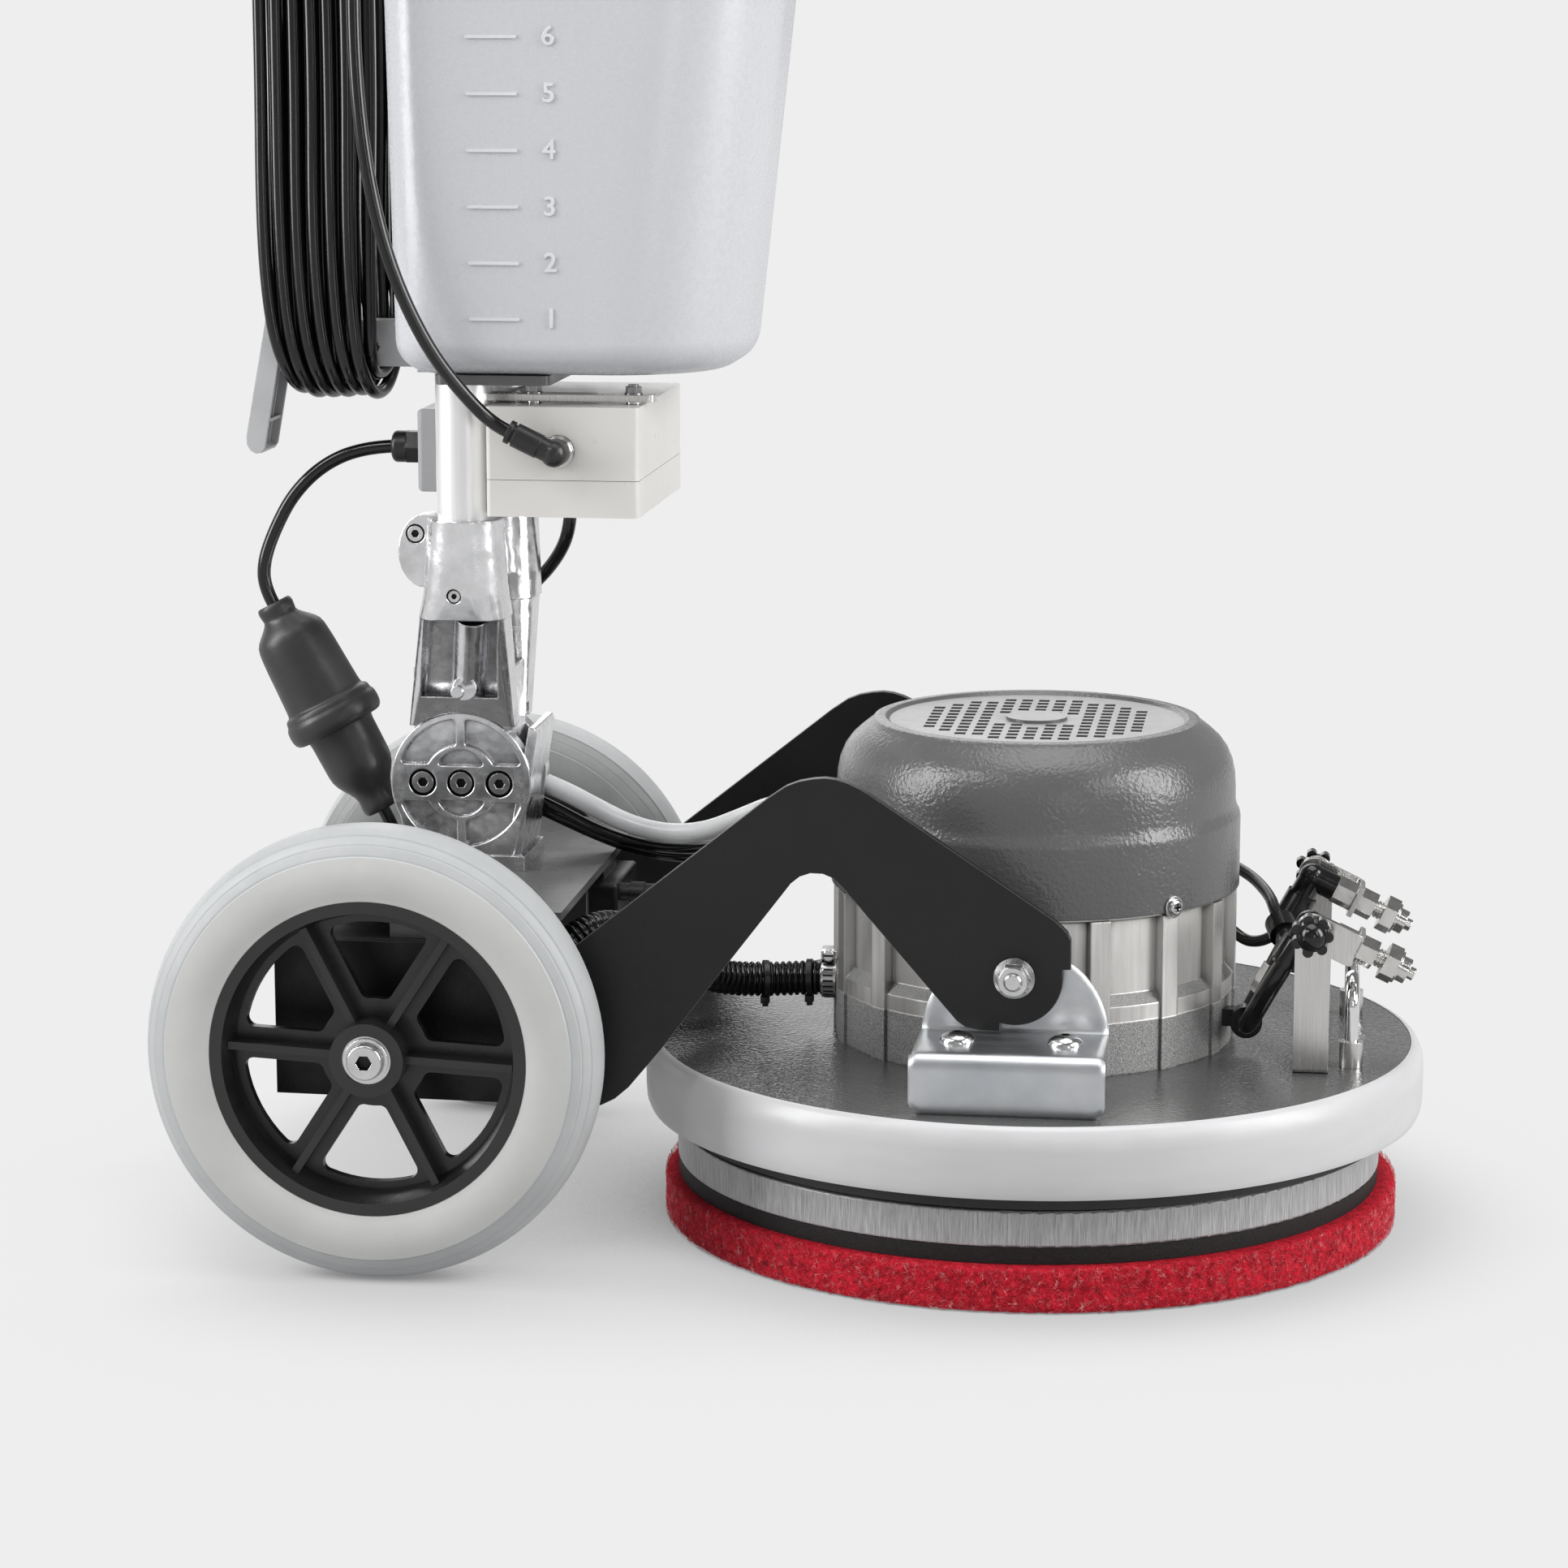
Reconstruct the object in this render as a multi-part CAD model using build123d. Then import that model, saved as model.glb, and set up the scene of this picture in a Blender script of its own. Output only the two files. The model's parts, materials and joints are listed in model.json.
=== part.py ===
from build123d import *
import math
import os

os.makedirs("parts", exist_ok=True)

# Orbital floor machine. Millimetres, +Z up, +X towards the scrubbing head, +Y away from the viewer.
# Origin on the floor under the motor axis.

# ---------------------------------------------------------------- driving dimensions
PAD_R = 216.0            # 17 inch floor pad
PAD_T = 26.0
HOLDER_TOP = 35.4
DRIVER_R = 208.0
DRIVER_TOP = 56.0
ECC = 3.0                # throw of the eccentric, towards -X at rest
DECK_R = 222.2
DECK_Z = 108.0
BUMPER_R = 229.7
BUMPER_Z0 = 67.0
HOUSING_R = 118.6
COVER_R = 120.0
COVER_Z0 = 200.0
COVER_Z1 = 297.0
RIM_R = 94.5
PIVOT_Z = 174.5          # deck pivot bolts, at X 0
ARM_Y = 152.0            # outer face of a side arm
ARM_T = 6.0
WHEEL_R = 130.0
WHEEL_X = -356.0
WHEEL_Y = 187.0
WHEEL_W = 50.0
RIM_EDGE_R = 90.0
HINGE_X = -338.0
HINGE_Z = 254.0
DISC_R = 42.0
TUBE_X = -328.0
TUBE_Y = 54.0
TUBE_R = 16.5
TUBE_TOP = 1072.0
PLATE_Z = 202.0
BOX_X0, BOX_X1, BOX_Y, BOX_Z0, BOX_SPLIT, BOX_Z1 = -310.6, -222.4, 79.0, 419.0, 440.0, 482.0
TANK_Z0, TANK_Z1 = 500.0, 838.0
POST_Y = 85.0
NOZ_X, NOZ_Z = 163.5, 190.5
NOZ_DOWN = 25.0
HEAD_Z0, HEAD_Z1 = 1060.0, 1130.0


# ---------------------------------------------------------------- helpers
def bx(x0, x1, y0, y1, z0, z1):
    return Pos((x0 + x1) / 2, (y0 + y1) / 2, (z0 + z1) / 2) * Box(abs(x1 - x0), abs(y1 - y0), abs(z1 - z0))


def cz(x, y, r, z0, z1):
    return Pos(x, y, (z0 + z1) / 2) * Cylinder(r, abs(z1 - z0))


def cy(x, z, r, y0, y1):
    return Pos(x, (y0 + y1) / 2, z) * Rot(90, 0, 0) * Cylinder(r, abs(y1 - y0))


def cx(y, z, r, x0, x1):
    return Pos((x0 + x1) / 2, y, z) * Rot(0, 90, 0) * Cylinder(r, abs(x1 - x0))


def along(p, d, r, s0, s1):
    """Cylinder of radius r on the line p + s d, from s0 to s1."""
    d = Vector(*d).normalized()
    a = Vector(*p) + d * s0
    return Plane(origin=tuple(a), z_dir=tuple(d)) * Pos(0, 0, (s1 - s0) / 2) * Cylinder(r, s1 - s0)


def hexy(x, z, af, y0, y1):
    """Hexagon prism along Y."""
    pl = Plane(origin=(x, min(y0, y1), z), x_dir=(1, 0, 0), z_dir=(0, 1, 0))
    return extrude(pl * RegularPolygon(af / math.sqrt(3), 6), abs(y1 - y0))


def hex_along(p, d, af, s0, s1):
    d = Vector(*d).normalized()
    a = Vector(*p) + d * s0
    return extrude(Plane(origin=tuple(a), z_dir=tuple(d)) * RegularPolygon(af / math.sqrt(3), 6), s1 - s0)


def rev(pts, x=0.0, y=0.0):
    """Solid of revolution about a vertical axis from (r, z) points."""
    f = make_face(Polyline(*[(r, 0, z) for r, z in pts], close=True))
    return Pos(x, y, 0) * revolve(f, Axis.Z)


def prism_xz(pts, y0, y1):
    """Prism along Y from (x, z) points."""
    f = make_face(Polyline(*[(x, y0, z) for x, z in pts], close=True))
    return extrude(f, y1 - y0, dir=(0, 1, 0))


def both(s):
    """A solid and its mirror image across the middle plane."""
    return [s, mirror(s, Plane.XZ)]


def solids(items):
    out = []
    for it in items if isinstance(items, (list, tuple)) else [items]:
        out.extend(it.solids())
    return out


# ---------------------------------------------------------------- hose routes that start on castings
GREY = [(-305.95, 39, 244.5), (-290, 37.5, 239), (-270, 33, 230), (-248, 26, 221), (-224, 20, 216.5), (-200, 18, 218.5), (-179, 26, 226), (-164, 44, 230.5),
        (-156, 66, 228), (-153.2, 89.2, 213), (-146, 99.9, 199.4), (-134, 105.6, 186.1), (-118.9, 105.5, 175), (-102.7, 99.6, 167.5), (-95.2, 94.2, 166.1)]
BLK1 = [(-305.95, 39, 232.5), (-291, 38, 226), (-270, 34, 216), (-246, 29, 209), (-220, 27, 206), (-196, 34, 207), (-172, 54, 212), (-146, 84, 214), (-112, 112, 214), (-72, 128, 214),
        (-30, 133.5, 214), (10, 134, 209), (46, 129, 199), (76, 117, 183), (99, 101, 165), (119.8, 81.7, 147.6), (132.6, 72.2, 148.9)]
BLK2 = [(-305.95, 44, 226.0), (-292, 43.5, 220), (-270, 41, 211), (-246, 37, 203.5), (-220, 36, 199), (-194, 44, 199.5), (-170, 62, 203), (-144, 90, 205), (-110, 117, 205), (-70, 130, 205),
        (-28, 133.5, 203), (18, 131, 203), (62, 116, 202), (98, 89, 199.5), (124, 56, 195), (137.5, 22, 189)]
OUTLET = [(-287, 60, BOX_Z0 - 8), (-287, 60, 395), (-298, 70, 374), (-318, 83, 354), (-344, 88, 330), (-362, 80, 302), (-367, 65, 274), (-361, 50, 250), (-347, 41, 236.5), (-330.05, 39, 233)]

NODES = {}


def node(name, *items):
    ss = []
    for it in items:
        ss.extend(solids(it))
    NODES[name] = ss


def hose(pts, r):
    """Round hose through the route's points with rounded corners."""
    radii = []
    v = [Vector(*p) for p in pts]
    for i in range(1, len(v) - 1):
        a, b = v[i - 1] - v[i], v[i + 1] - v[i]
        turn = math.pi - a.get_angle(b) * math.pi / 180
        radii.append(0.45 * min(a.length, b.length) / max(math.tan(turn / 2), 1e-3))
    line = FilletPolyline(*pts, radius=radii)
    t = line % 0
    prof = Plane(origin=tuple(line @ 0), z_dir=tuple(t)) * Circle(r)
    s = sweep(prof, path=line)
    print("hose r", r, "length", round(line.length, 1), "radii", [round(x) for x in radii],
          "volume ratio", round(s.volume / (math.pi * r * r * line.length), 3))
    return s


# ---------------------------------------------------------------- pad, holder, driver
# the fibre pad is placed on the holder by hand, a little off centre
pad = cz(-1.5, 0, PAD_R, 0, PAD_T)
pad = fillet(pad.edges().filter_by(GeomType.CIRCLE).filter_by(lambda e: e.radius > 100), 3)
node("cleaning_pad", pad)
holder = cz(-ECC, 0, DRIVER_R - 0.5, PAD_T, HOLDER_TOP)
node("pad_holder", holder)
driver = cz(-ECC, 0, DRIVER_R, HOLDER_TOP, DRIVER_TOP)
driver = fillet(driver.edges().filter_by(GeomType.CIRCLE), 1.5)
driver = driver - cz(-ECC, 0, 26.03, 39, DRIVER_TOP + 1)
node("driver_disc", driver)

# ---------------------------------------------------------------- deck, bumper
deck = rev([(45, 103), (206, 103), (206, 58.5), (212, 58.5), (212, 103), (DECK_R, 103), (DECK_R, DECK_Z), (45, DECK_Z)])
bumper = rev([(212.1, 69), (224, 67), (227.6, 68.2), (229.2, 72), (BUMPER_R, 80), (BUMPER_R, 95), (229.0, 101),
              (226.6, 106), (224.5, 107.8), (DECK_R + 0.15, 108.3), (DECK_R + 0.15, 102.9), (212.1, 102.9)])
bracket_holes = [(x, s * 170.0) for x in (-30.0, 30.0) for s in (-1, 1)]
for x, y in bracket_holes:
    deck -= cz(x, y, 4.0, 90, 120)
node("deck_plate", deck)
node("deck_bumper", bumper)

# ---------------------------------------------------------------- motor housing
SPIGOT_R = 117.2
housing = rev([(35, DECK_Z), (117, DECK_Z), (117, 148), (112, 154), (112, 197), (SPIGOT_R, 198.5), (SPIGOT_R, 206),
               (100, 206), (100, 116), (48, 116), (48, 126), (26.02, 126), (26.02, 110), (35, 110)])
N_RIB = 16
for i in range(N_RIB):
    a = 360.0 / N_RIB * i
    housing += Rot(0, 0, a) * bx(104, HOUSING_R, -6.0, 6.0, DECK_Z, 198.4)
# flat seat and gland for the grey cable on the rear far side, and the conduit entry
gd = Vector(*GREY[-1]) - Vector(*GREY[-2])
housing += along(GREY[-1], tuple(gd), 8.5, 0, 27) + along(GREY[-1], tuple(gd), 11, 11, 27)
housing = housing - cx(0, 136, 10.42, -125, -98)
screw_angles = [45, 135, 225, 315]
for a in screw_angles:
    housing -= Rot(0, 0, a) * cx(0, 203, 2.55, 90, 130)
node("motor_housing", housing)

shield = rev([(12.9, 206), (12.9, 192), (30, 192), (30, 206), (SPIGOT_R - 2, 206), (SPIGOT_R - 2, 211), (20.02, 211), (20.02, 197), (12.9, 197)])
node("end_shield", shield)
stator = rev([(62, 122), (100, 130), (100, 180), (62, 188)])
for i in range(24):
    stator -= Rot(0, 0, 15 * i) * bx(60, 78, -2.5, 2.5, 110, 200)
node("motor_stator", stator)

# ---------------------------------------------------------------- rotor, fan, eccentric
rotor = rev([(0, 70), (12.5, 70), (12.5, 130), (60, 130), (60, 180), (12.5, 180), (12.5, 197), (10, 197), (10, 248), (0, 248)])
node("motor_rotor", rotor)
fan = rev([(10, 216), (22, 216), (22, 220), (92, 220), (92, 223), (22, 223), (22, 246), (10, 246)])
for i in range(12):
    fan += Rot(0, 0, 30 * i) * bx(20, 92, -1.5, 1.5, 222.5, 250)
node("cooling_fan", fan)
hub = rev([(12.5, 66), (32, 66), (32, 98), (12.5, 98)]) + cz(0, 0, 32, 62, 70)
hub += cz(-ECC, 0, 15, 39.5, 62)
weight = rev([(30, 74), (72, 74), (72, 90), (30, 90)]) & bx(8, 100, -100, 100, 60, 100)
hub += weight
hub -= cz(0, 0, 12.5, 70, 99)
node("eccentric_hub", hub)
node("shaft_bearings",
     cz(0, 0, 26.0, 110.5, 125.5) - cz(0, 0, 12.5, 100, 130),
     cz(0, 0, 20.0, 197.3, 210.5) - cz(0, 0, 10, 190, 220),
     cz(-ECC, 0, 26.0, 40, 55.5) - cz(-ECC, 0, 15, 30, 60))

# ---------------------------------------------------------------- fan cover
outer = [(COVER_R, COVER_Z0), (COVER_R, 240), (119.4, 243), (117.8, 246), (117, 250), (116.9, 258), (116.3, 266), (114.8, 273),
         (112, 279.5), (108, 285), (103, 289.5), (98.5, 293), (96, 295), (RIM_R + 0.6, 296.4), (RIM_R - 1.2, COVER_Z1), (88.5, COVER_Z1), (86, 295)]
inner = [(0, 292.4), (92.5, 292.4), (96.5, 290.6), (101, 287), (106, 282.5), (109.6, 277.5), (112.3, 271.5), (113.7, 265), (114.4, 257.5),
         (114.5, 250), (115.4, 245), (117.0, 241.5), (117.5, 239), (117.5, COVER_Z0)]
cover = rev(outer + [(0, 295)] + inner)
cover += cz(0, 0, 18, 294.5, 297)
slots = []
for i in range(-7, 8):
    for j in range(-6, 7):
        x, y = 10.0 * i, 10.8 * j
        if math.hypot(x, y) > 69.5 or math.hypot(x, y) < 23:
            continue
        slots.append(bx(x - 3.2, x + 3.2, y - 3.5, y + 3.5, 288, 300))
cover = cover - slots
for a in screw_angles:
    cover -= Rot(0, 0, a) * cx(0, 203, 2.55, 90, 130)
node("fan_cover", cover)

# ---------------------------------------------------------------- pivot brackets and deck screws
BR_Y = 143.4             # outer face of the upright plate
up = prism_xz([(-52.5, 138), (52.5, 138), (52.5, 140)] +
              [(52.5 * math.cos(math.radians(t)), 139 + 52.5 * math.sin(math.radians(t))) for t in range(6, 180, 6)] +
              [(-52.5, 140)], -BR_Y, -BR_Y + 4)
web = bx(-52.5, 52.5, -200, -BR_Y + 4, 138, 142)
lip = bx(-54, 54, -204, -200, 109.5, 142)
lip = fillet(lip.edges().filter_by(Axis.Y).filter_by(lambda e: e.center().Z < 115), 6)
bracket = up + web + lip
bracket = fillet(bracket.edges().filter_by(Axis.X).filter_by(lambda e: abs(e.center().Y + 204) < 0.1 and abs(e.center().Z - 142) < 0.1), 8)
bracket -= cy(0, PIVOT_Z, 5.05, -160, -130)
for x, y in bracket_holes:
    bracket -= cz(x, y, 4.0, 130, 150)
# feet that carry the lip and the web on the deck
bracket += bx(-50, 50, -203.5, -200.2, DECK_Z, 110)
node("pivot_brackets", both(bracket))

screws = []
for x, y in bracket_holes:
    if y < 0:
        head = rev([(0, 142), (10.0, 142), (9.9, 143.2), (9.2, 144.6), (7.8, 145.9), (5.8, 146.9), (3.4, 147.5), (0, 147.7)], x, y)
        head -= extrude(Pos(x, y, 144.5) * RegularPolygon(2.9, 6), 5)
        s = head + cz(x, y, 3.98, 103, 142) + (cz(x, y, 9, DECK_Z, 138))
        screws += both(s)
for a in screw_angles:
    s = cx(0, 203, 2.5, 106, 120.2) + cx(0, 203, 6.4, 120.05, 121.2)
    h = cx(0, 203, 4.6, 121.2, 124)
    h = fillet(h.edges().filter_by(lambda e: e.center().X > 123.5), 1.6)
    h -= bx(122.2, 125, -0.6, 0.6, 200.6, 205.4)
    h -= bx(122.2, 125, -2.4, 2.4, 202.4, 203.6)
    screws.append(Rot(0, 0, a) * (s + h))
node("deck_screws", screws)

# ---------------------------------------------------------------- spray posts, nozzles, knobs
post = bx(NOZ_X - 9.5, NOZ_X + 10.7, -POST_Y, -POST_Y + 3, DECK_Z, NOZ_Z) + cy(NOZ_X + 0.6, NOZ_Z, 10.1, -POST_Y, -POST_Y + 3)
post += bx(NOZ_X - 9.5, NOZ_X + 10.7, -POST_Y, -POST_Y + 24, DECK_Z, DECK_Z + 3)
post = fillet(post.edges().filter_by(Axis.X).filter_by(lambda e: abs(e.center().Y + POST_Y) < 0.1 and e.center().Z < DECK_Z + 0.1), 2.5)
post -= cy(NOZ_X, NOZ_Z, 3.05, -POST_Y - 5, -POST_Y + 10)
node("nozzle_posts", both(post))

def noz_part(down, ed):
    """Strap, nozzle body and push-in elbow of the near side, nozzle pointing down by an angle."""
    ca, sa = math.cos(math.radians(down)), math.sin(math.radians(down))
    dirn = (ca, 0, -sa)
    y0 = -POST_Y + 3.4
    strap = bx(0, 29, y0, y0 + 3, -9.6, 9.6) + bx(26, 29, y0, y0 + 27, -9.6, 9.6)
    strap = fillet(strap.edges().filter_by(Axis.Z).filter_by(lambda e: e.center().X > 28.9 and e.center().Y < y0 + 0.1), 5)
    strap = fillet(strap.edges().filter_by(Axis.Z).filter_by(lambda e: abs(e.center().X - 26) < 0.1 and abs(e.center().Y - y0 - 3) < 0.1), 2)
    strap = Pos(NOZ_X, 0, NOZ_Z) * Rot(0, down, 0) * strap
    strap = strap + cy(NOZ_X, NOZ_Z, 9.6, y0, y0 + 3)
    strap -= cy(NOZ_X, NOZ_Z, 3.4, y0 - 2, y0 + 8)
    yn = y0 + 15
    p = (NOZ_X, yn, NOZ_Z)
    body = hex_along(p, dirn, 15, 13.6, 26) + along(p, dirn, 6, 25, 31) + hex_along(p, dirn, 15, 29, 39.5)
    body += along(p, dirn, 4.6, 39, 46) + along(p, dirn, 5.4, 41, 42.2) + along(p, dirn, 5.4, 43, 44.2) + hex_along(p, dirn, 19.5, 45, 53)
    body += along(p, dirn, 9.6, 52.5, 54.4) + along(p, dirn, 7.5, 54, 60) + along(p, dirn, 3.7, 60, 64)
    strap = strap - along(p, dirn, 6, 22, 33)
    e0 = (NOZ_X - 1.5 * ca, yn, NOZ_Z + 1.5 * sa)
    elbow = along(p, dirn, 7.8, -1.5, 13.6) + Pos(*e0) * Sphere(8.2)
    elbow += along(e0, ed, 7.8, 0, 14) + along(e0, ed, 9.3, 12, 26) + along(e0, ed, 7.6, 26, 28.5)
    tip = Vector(*e0) + Vector(*ed).normalized() * 28.5
    return strap, body, elbow, tip


DIR_N, DIR_F = Vector(-0.51, 0, -0.86).normalized(), Vector(-0.467, 0, -0.884).normalized()
strap_n, body_n, elbow_n, TIP_N = noz_part(NOZ_DOWN, tuple(DIR_N))
strap_f, body_f, elbow_f, TIP_F = noz_part(NOZ_DOWN + 0.8, tuple(DIR_F))
TIP_F = Vector(TIP_F.X, -TIP_F.Y, TIP_F.Z)
node("nozzle_near", strap_n, body_n, elbow_n)
node("nozzle_far", [mirror(q, Plane.XZ) for q in (strap_f, body_f, elbow_f)])
print("nozzle hose ends", TIP_N, TIP_F)

# push-in elbow, check valve and return bend of the near spray line, on the deck side of the hoses
V0 = (149.3, -28, 172)
VD = Vector(-0.45, 0, -0.893).normalized()
VI = Vector(-0.25, 0.9, 0.36).normalized()
valve = Pos(*V0) * Sphere(6.6) + along(V0, tuple(VI), 6.6, 0, 8) + along(V0, tuple(VI), 8.9, 7, 20)
valve += along(V0, tuple(VD), 5.6, 0, 50) + hex_along(V0, tuple(VD), 11.6, 16.5, 35)
V1 = Vector(*V0) + VD * 50.7
valve += Pos(*tuple(V1)) * Sphere(7.2) + along(tuple(V1), (0, -1, 0), 7.2, 0, 8) + along(tuple(V1), (0, -1, 0), 9.3, 5, 16)
V2 = V1 + Vector(0, -16, 0)
VIN = Vector(*V0) + VI * 20
# clip that holds the check valve against the motor housing
valve += bx(105, V1.X, -33, -23, V1.Z - 5, V1.Z + 5) - cz(0, 0, 117.03, 100, 150)
node("spray_valve", valve)


def star_knob():
    k = cy(NOZ_X, NOZ_Z, 8.6, -POST_Y - 13.6, -POST_Y - 0.6)
    for i in range(7):
        a = 2 * math.pi * i / 7
        k += cy(NOZ_X + 9.2 * math.cos(a), NOZ_Z + 9.2 * math.sin(a), 3.1, -POST_Y - 12.4, -POST_Y - 3.6)
    k += Pos(NOZ_X, -POST_Y - 10.4, NOZ_Z) * (Sphere(8.6) & bx(-20, 20, -20, 0, -20, 20))
    k += cy(NOZ_X, NOZ_Z, 3.0, -POST_Y - 5, -POST_Y + 9)
    return k


kn = star_knob()
node("knob_near", kn)
node("knob_far", mirror(kn, Plane.XZ))

# ---------------------------------------------------------------- lift handle on the deck
LIFT_X, LIFT_Y = 187.0, 64.0
lp = FilletPolyline((LIFT_X, -LIFT_Y, 120), (LIFT_X, -LIFT_Y, 157), (LIFT_X, LIFT_Y, 157), (LIFT_X, LIFT_Y, 120), radius=16)
lift = sweep(Plane(origin=(LIFT_X, -LIFT_Y, 120), z_dir=(0, 0, 1)) * Circle(4.1), path=lp)
for y in (-LIFT_Y, LIFT_Y):
    lift += cz(LIFT_X, y, 7.0, DECK_Z, 123)
node("lift_handle", lift)

# ---------------------------------------------------------------- side arms
arm_pts = [(-422, 94.5), (-244, 92.6), (-234, 93.4), (-226, 97.5), (-218, 104.5), (-199, 127.5), (-163.7, 174.6), (-129.5, 219.5), (-125.5, 224.8),
           (-120.5, 228.9), (-114.5, 231), (-107.5, 230.8), (-101.5, 228.4), (-96.5, 223.5), (-65.3, 187.4), (-32, 149.0), (-27, 145.6), (-19, 144.1),
           (-7.7, 143.6), (-7.7, 148.6)]
lobe = [(27 * math.sin(math.radians(t)), PIVOT_Z - 27 * math.cos(math.radians(t))) for t in range(-12, 100, 6)]
arm_pts += lobe[0:]
arm_pts += [(27, 179.8), (31.3, 180.1), (31.3, 196.5), (29.2, 201), (22.4, 207.5), (-6.6, 226.9), (-79.7, 275.1), (-86, 278.9), (-93.8, 282.5), (-100, 284.3),
            (-106.5, 285), (-113, 284.4), (-121, 282.8), (-128.3, 279.9), (-138.8, 272.7), (-228.6, 201.2), (-248.5, 185), (-422, 185)]
arm = prism_xz(arm_pts, -ARM_Y, -ARM_Y + ARM_T)
arm -= cy(0, PIVOT_Z, 5.02, -160, -140)
arm -= cy(WHEEL_X, WHEEL_R, 7.52, -160, -140)
node("side_arms", both(arm))

CH_Y = ARM_Y - ARM_T
channel = bx(-422, -288, -CH_Y, CH_Y, 181, 185)
for s in (-1, 1):
    fl = bx(-422, -288, s * (CH_Y - 4), s * CH_Y, 94.5, 184)
    channel += fl
channel -= cy(WHEEL_X, WHEEL_R, 7.52, -160, 160)
channel -= cz(-383, 0, 8, 170, 200)
# terminal box and gland that take the far end of the motor's conduit
channel += bx(-338, -317.6, -142.5, -101.5, 100, 146) + along((-310, -119, 124), (-19, 0, -15), 12.6, 0.05, 12)
node("rear_channel", channel)

plate = bx(-412, -258, -141, 141, PLATE_Z - 5, PLATE_Z)
plate += bx(-357, -333, -141, 141, 185, PLATE_Z - 5) + bx(-314, -292, -141, 141, 185, PLATE_Z - 5)
plate = plate - cz(-383, 0, 8, 190, 210)
node("mounting_plate", plate)

capbox = bx(-268, -248, -8, 64, 138, 191)
capbox = fillet(capbox.edges(), 3)
capbox += bx(-268, -259, 6, 50, 186, 197)
capbox += cx(2, 184, 5.6, -249, -226) + cx(2, 184, 6.6, -242, -233)
node("capacitor_box", capbox)

# ---------------------------------------------------------------- wheels
def wheel(name):
    y0, y1 = -WHEEL_Y - WHEEL_W / 2, -WHEEL_Y + WHEEL_W / 2
    # tyre section (distance across the width, radius)
    h = WHEEL_W / 2
    sec = [(-21, RIM_EDGE_R - 6), (-21.8, RIM_EDGE_R), (-23.3, 93.5), (-24.5, 98.5), (-25, 104), (-24.6, 109.5), (-23.3, 115), (-22.5, 115.7), (-22.3, 117),
           (-20.1, 120.8), (-19.3, 121.2), (-19.0, 122.4), (-15.9, 125.4), (-15.1, 125.5), (-14.6, 126.5), (-10.5, 128.4), (-5.5, 129.6), (0, 130)]
    sec = sec + [(-a, r) for a, r in reversed(sec[:-1])]
    f = make_face(Polyline(*[(WHEEL_X, -WHEEL_Y + a, WHEEL_R + r) for a, r in sec], close=True))
    ax = Axis((WHEEL_X, 0, WHEEL_R), (0, 1, 0))
    tyre = revolve(f, ax)
    # rim: outer band, web with six windows, ribs on the spokes, hub
    band = [(-22, RIM_EDGE_R - 0.05), (-22, 83), (-18, 82), (-6, 79.5), (6, 79.5), (18, 82), (22, 83), (22, RIM_EDGE_R - 0.05), (21, RIM_EDGE_R - 6.05), (-21, RIM_EDGE_R - 6.05)]
    rim = revolve(make_face(Polyline(*[(WHEEL_X, -WHEEL_Y + a, WHEEL_R + r) for a, r in band], close=True)), ax)
    web = cy(WHEEL_X, WHEEL_R, 81, -WHEEL_Y - 3, -WHEEL_Y + 3)
    cuts = []
    for k in range(6):
        mid = math.radians(60 * k + 30 - 3)
        # window between two spokes, rounded
        pts = []
        r0, r1, hw = 31.0, 75.0, 9.0
        n = 10
        pl = Plane(origin=(WHEEL_X, -WHEEL_Y - 10, WHEEL_R), x_dir=(math.cos(mid), 0, math.sin(mid)), z_dir=(0, 1, 0))
        half_in = math.radians(30) - math.asin(hw / r0)
        half_out = math.radians(30) - math.asin(hw / r1)
        for i in range(n + 1):
            t = -half_in + 2 * half_in * i / n
            pts.append((r0 * math.cos(t), r0 * math.sin(t)))
        for i in range(n + 1):
            t = half_out - 2 * half_out * i / n
            pts.append((r1 * math.cos(t), r1 * math.sin(t)))
        face = make_face(Polyline(*pts, close=True))
        w = extrude(pl * face, 20)
        cuts.append(fillet(w.edges().filter_by(Axis.Y).filter_by(
            lambda e: any(abs((e.center() - Vector(WHEEL_X, e.center().Y, WHEEL_R)).length - q) < 0.6 for q in (r0, r1)) and
            any(abs(abs(math.atan2((e.center() - Vector(*pl.origin)).dot(pl.y_dir), (e.center() - Vector(*pl.origin)).dot(pl.x_dir))) - hh) < 0.02
                for hh in (half_in, half_out))), 5))
    web = web - cuts
    for k in range(6):
        a = 60 * k - 3
        rib = Pos(WHEEL_X, -WHEEL_Y, WHEEL_R) * Rot(0, -a, 0) * bx(14, 81, -15, 15, -2.2, 2.2)
        web += rib
    rim = rim + web + cy(WHEEL_X, WHEEL_R, 21, y0 + 1, y1 - 1)
    rim -= cy(WHEEL_X, WHEEL_R, 14.03, y0 - 5, y1 + 5)
    return tyre, rim


tyre, rim = wheel("near")
node("tyre_near", tyre)
node("rim_near", rim)
node("tyre_far", mirror(tyre, Plane.XZ))
node("rim_far", mirror(rim, Plane.XZ))
yb0, yb1 = -WHEEL_Y - 24, -WHEEL_Y + 24
ring = lambda a, b: cy(WHEEL_X, WHEEL_R, 14.0, a, b) - cy(WHEEL_X, WHEEL_R, 7.5, a - 2, b + 2)
b1, b2 = ring(yb0 + 1.5, yb0 + 11), ring(yb1 - 11, yb1)
node("wheel_bearings", both(b1), both(b2))

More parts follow.
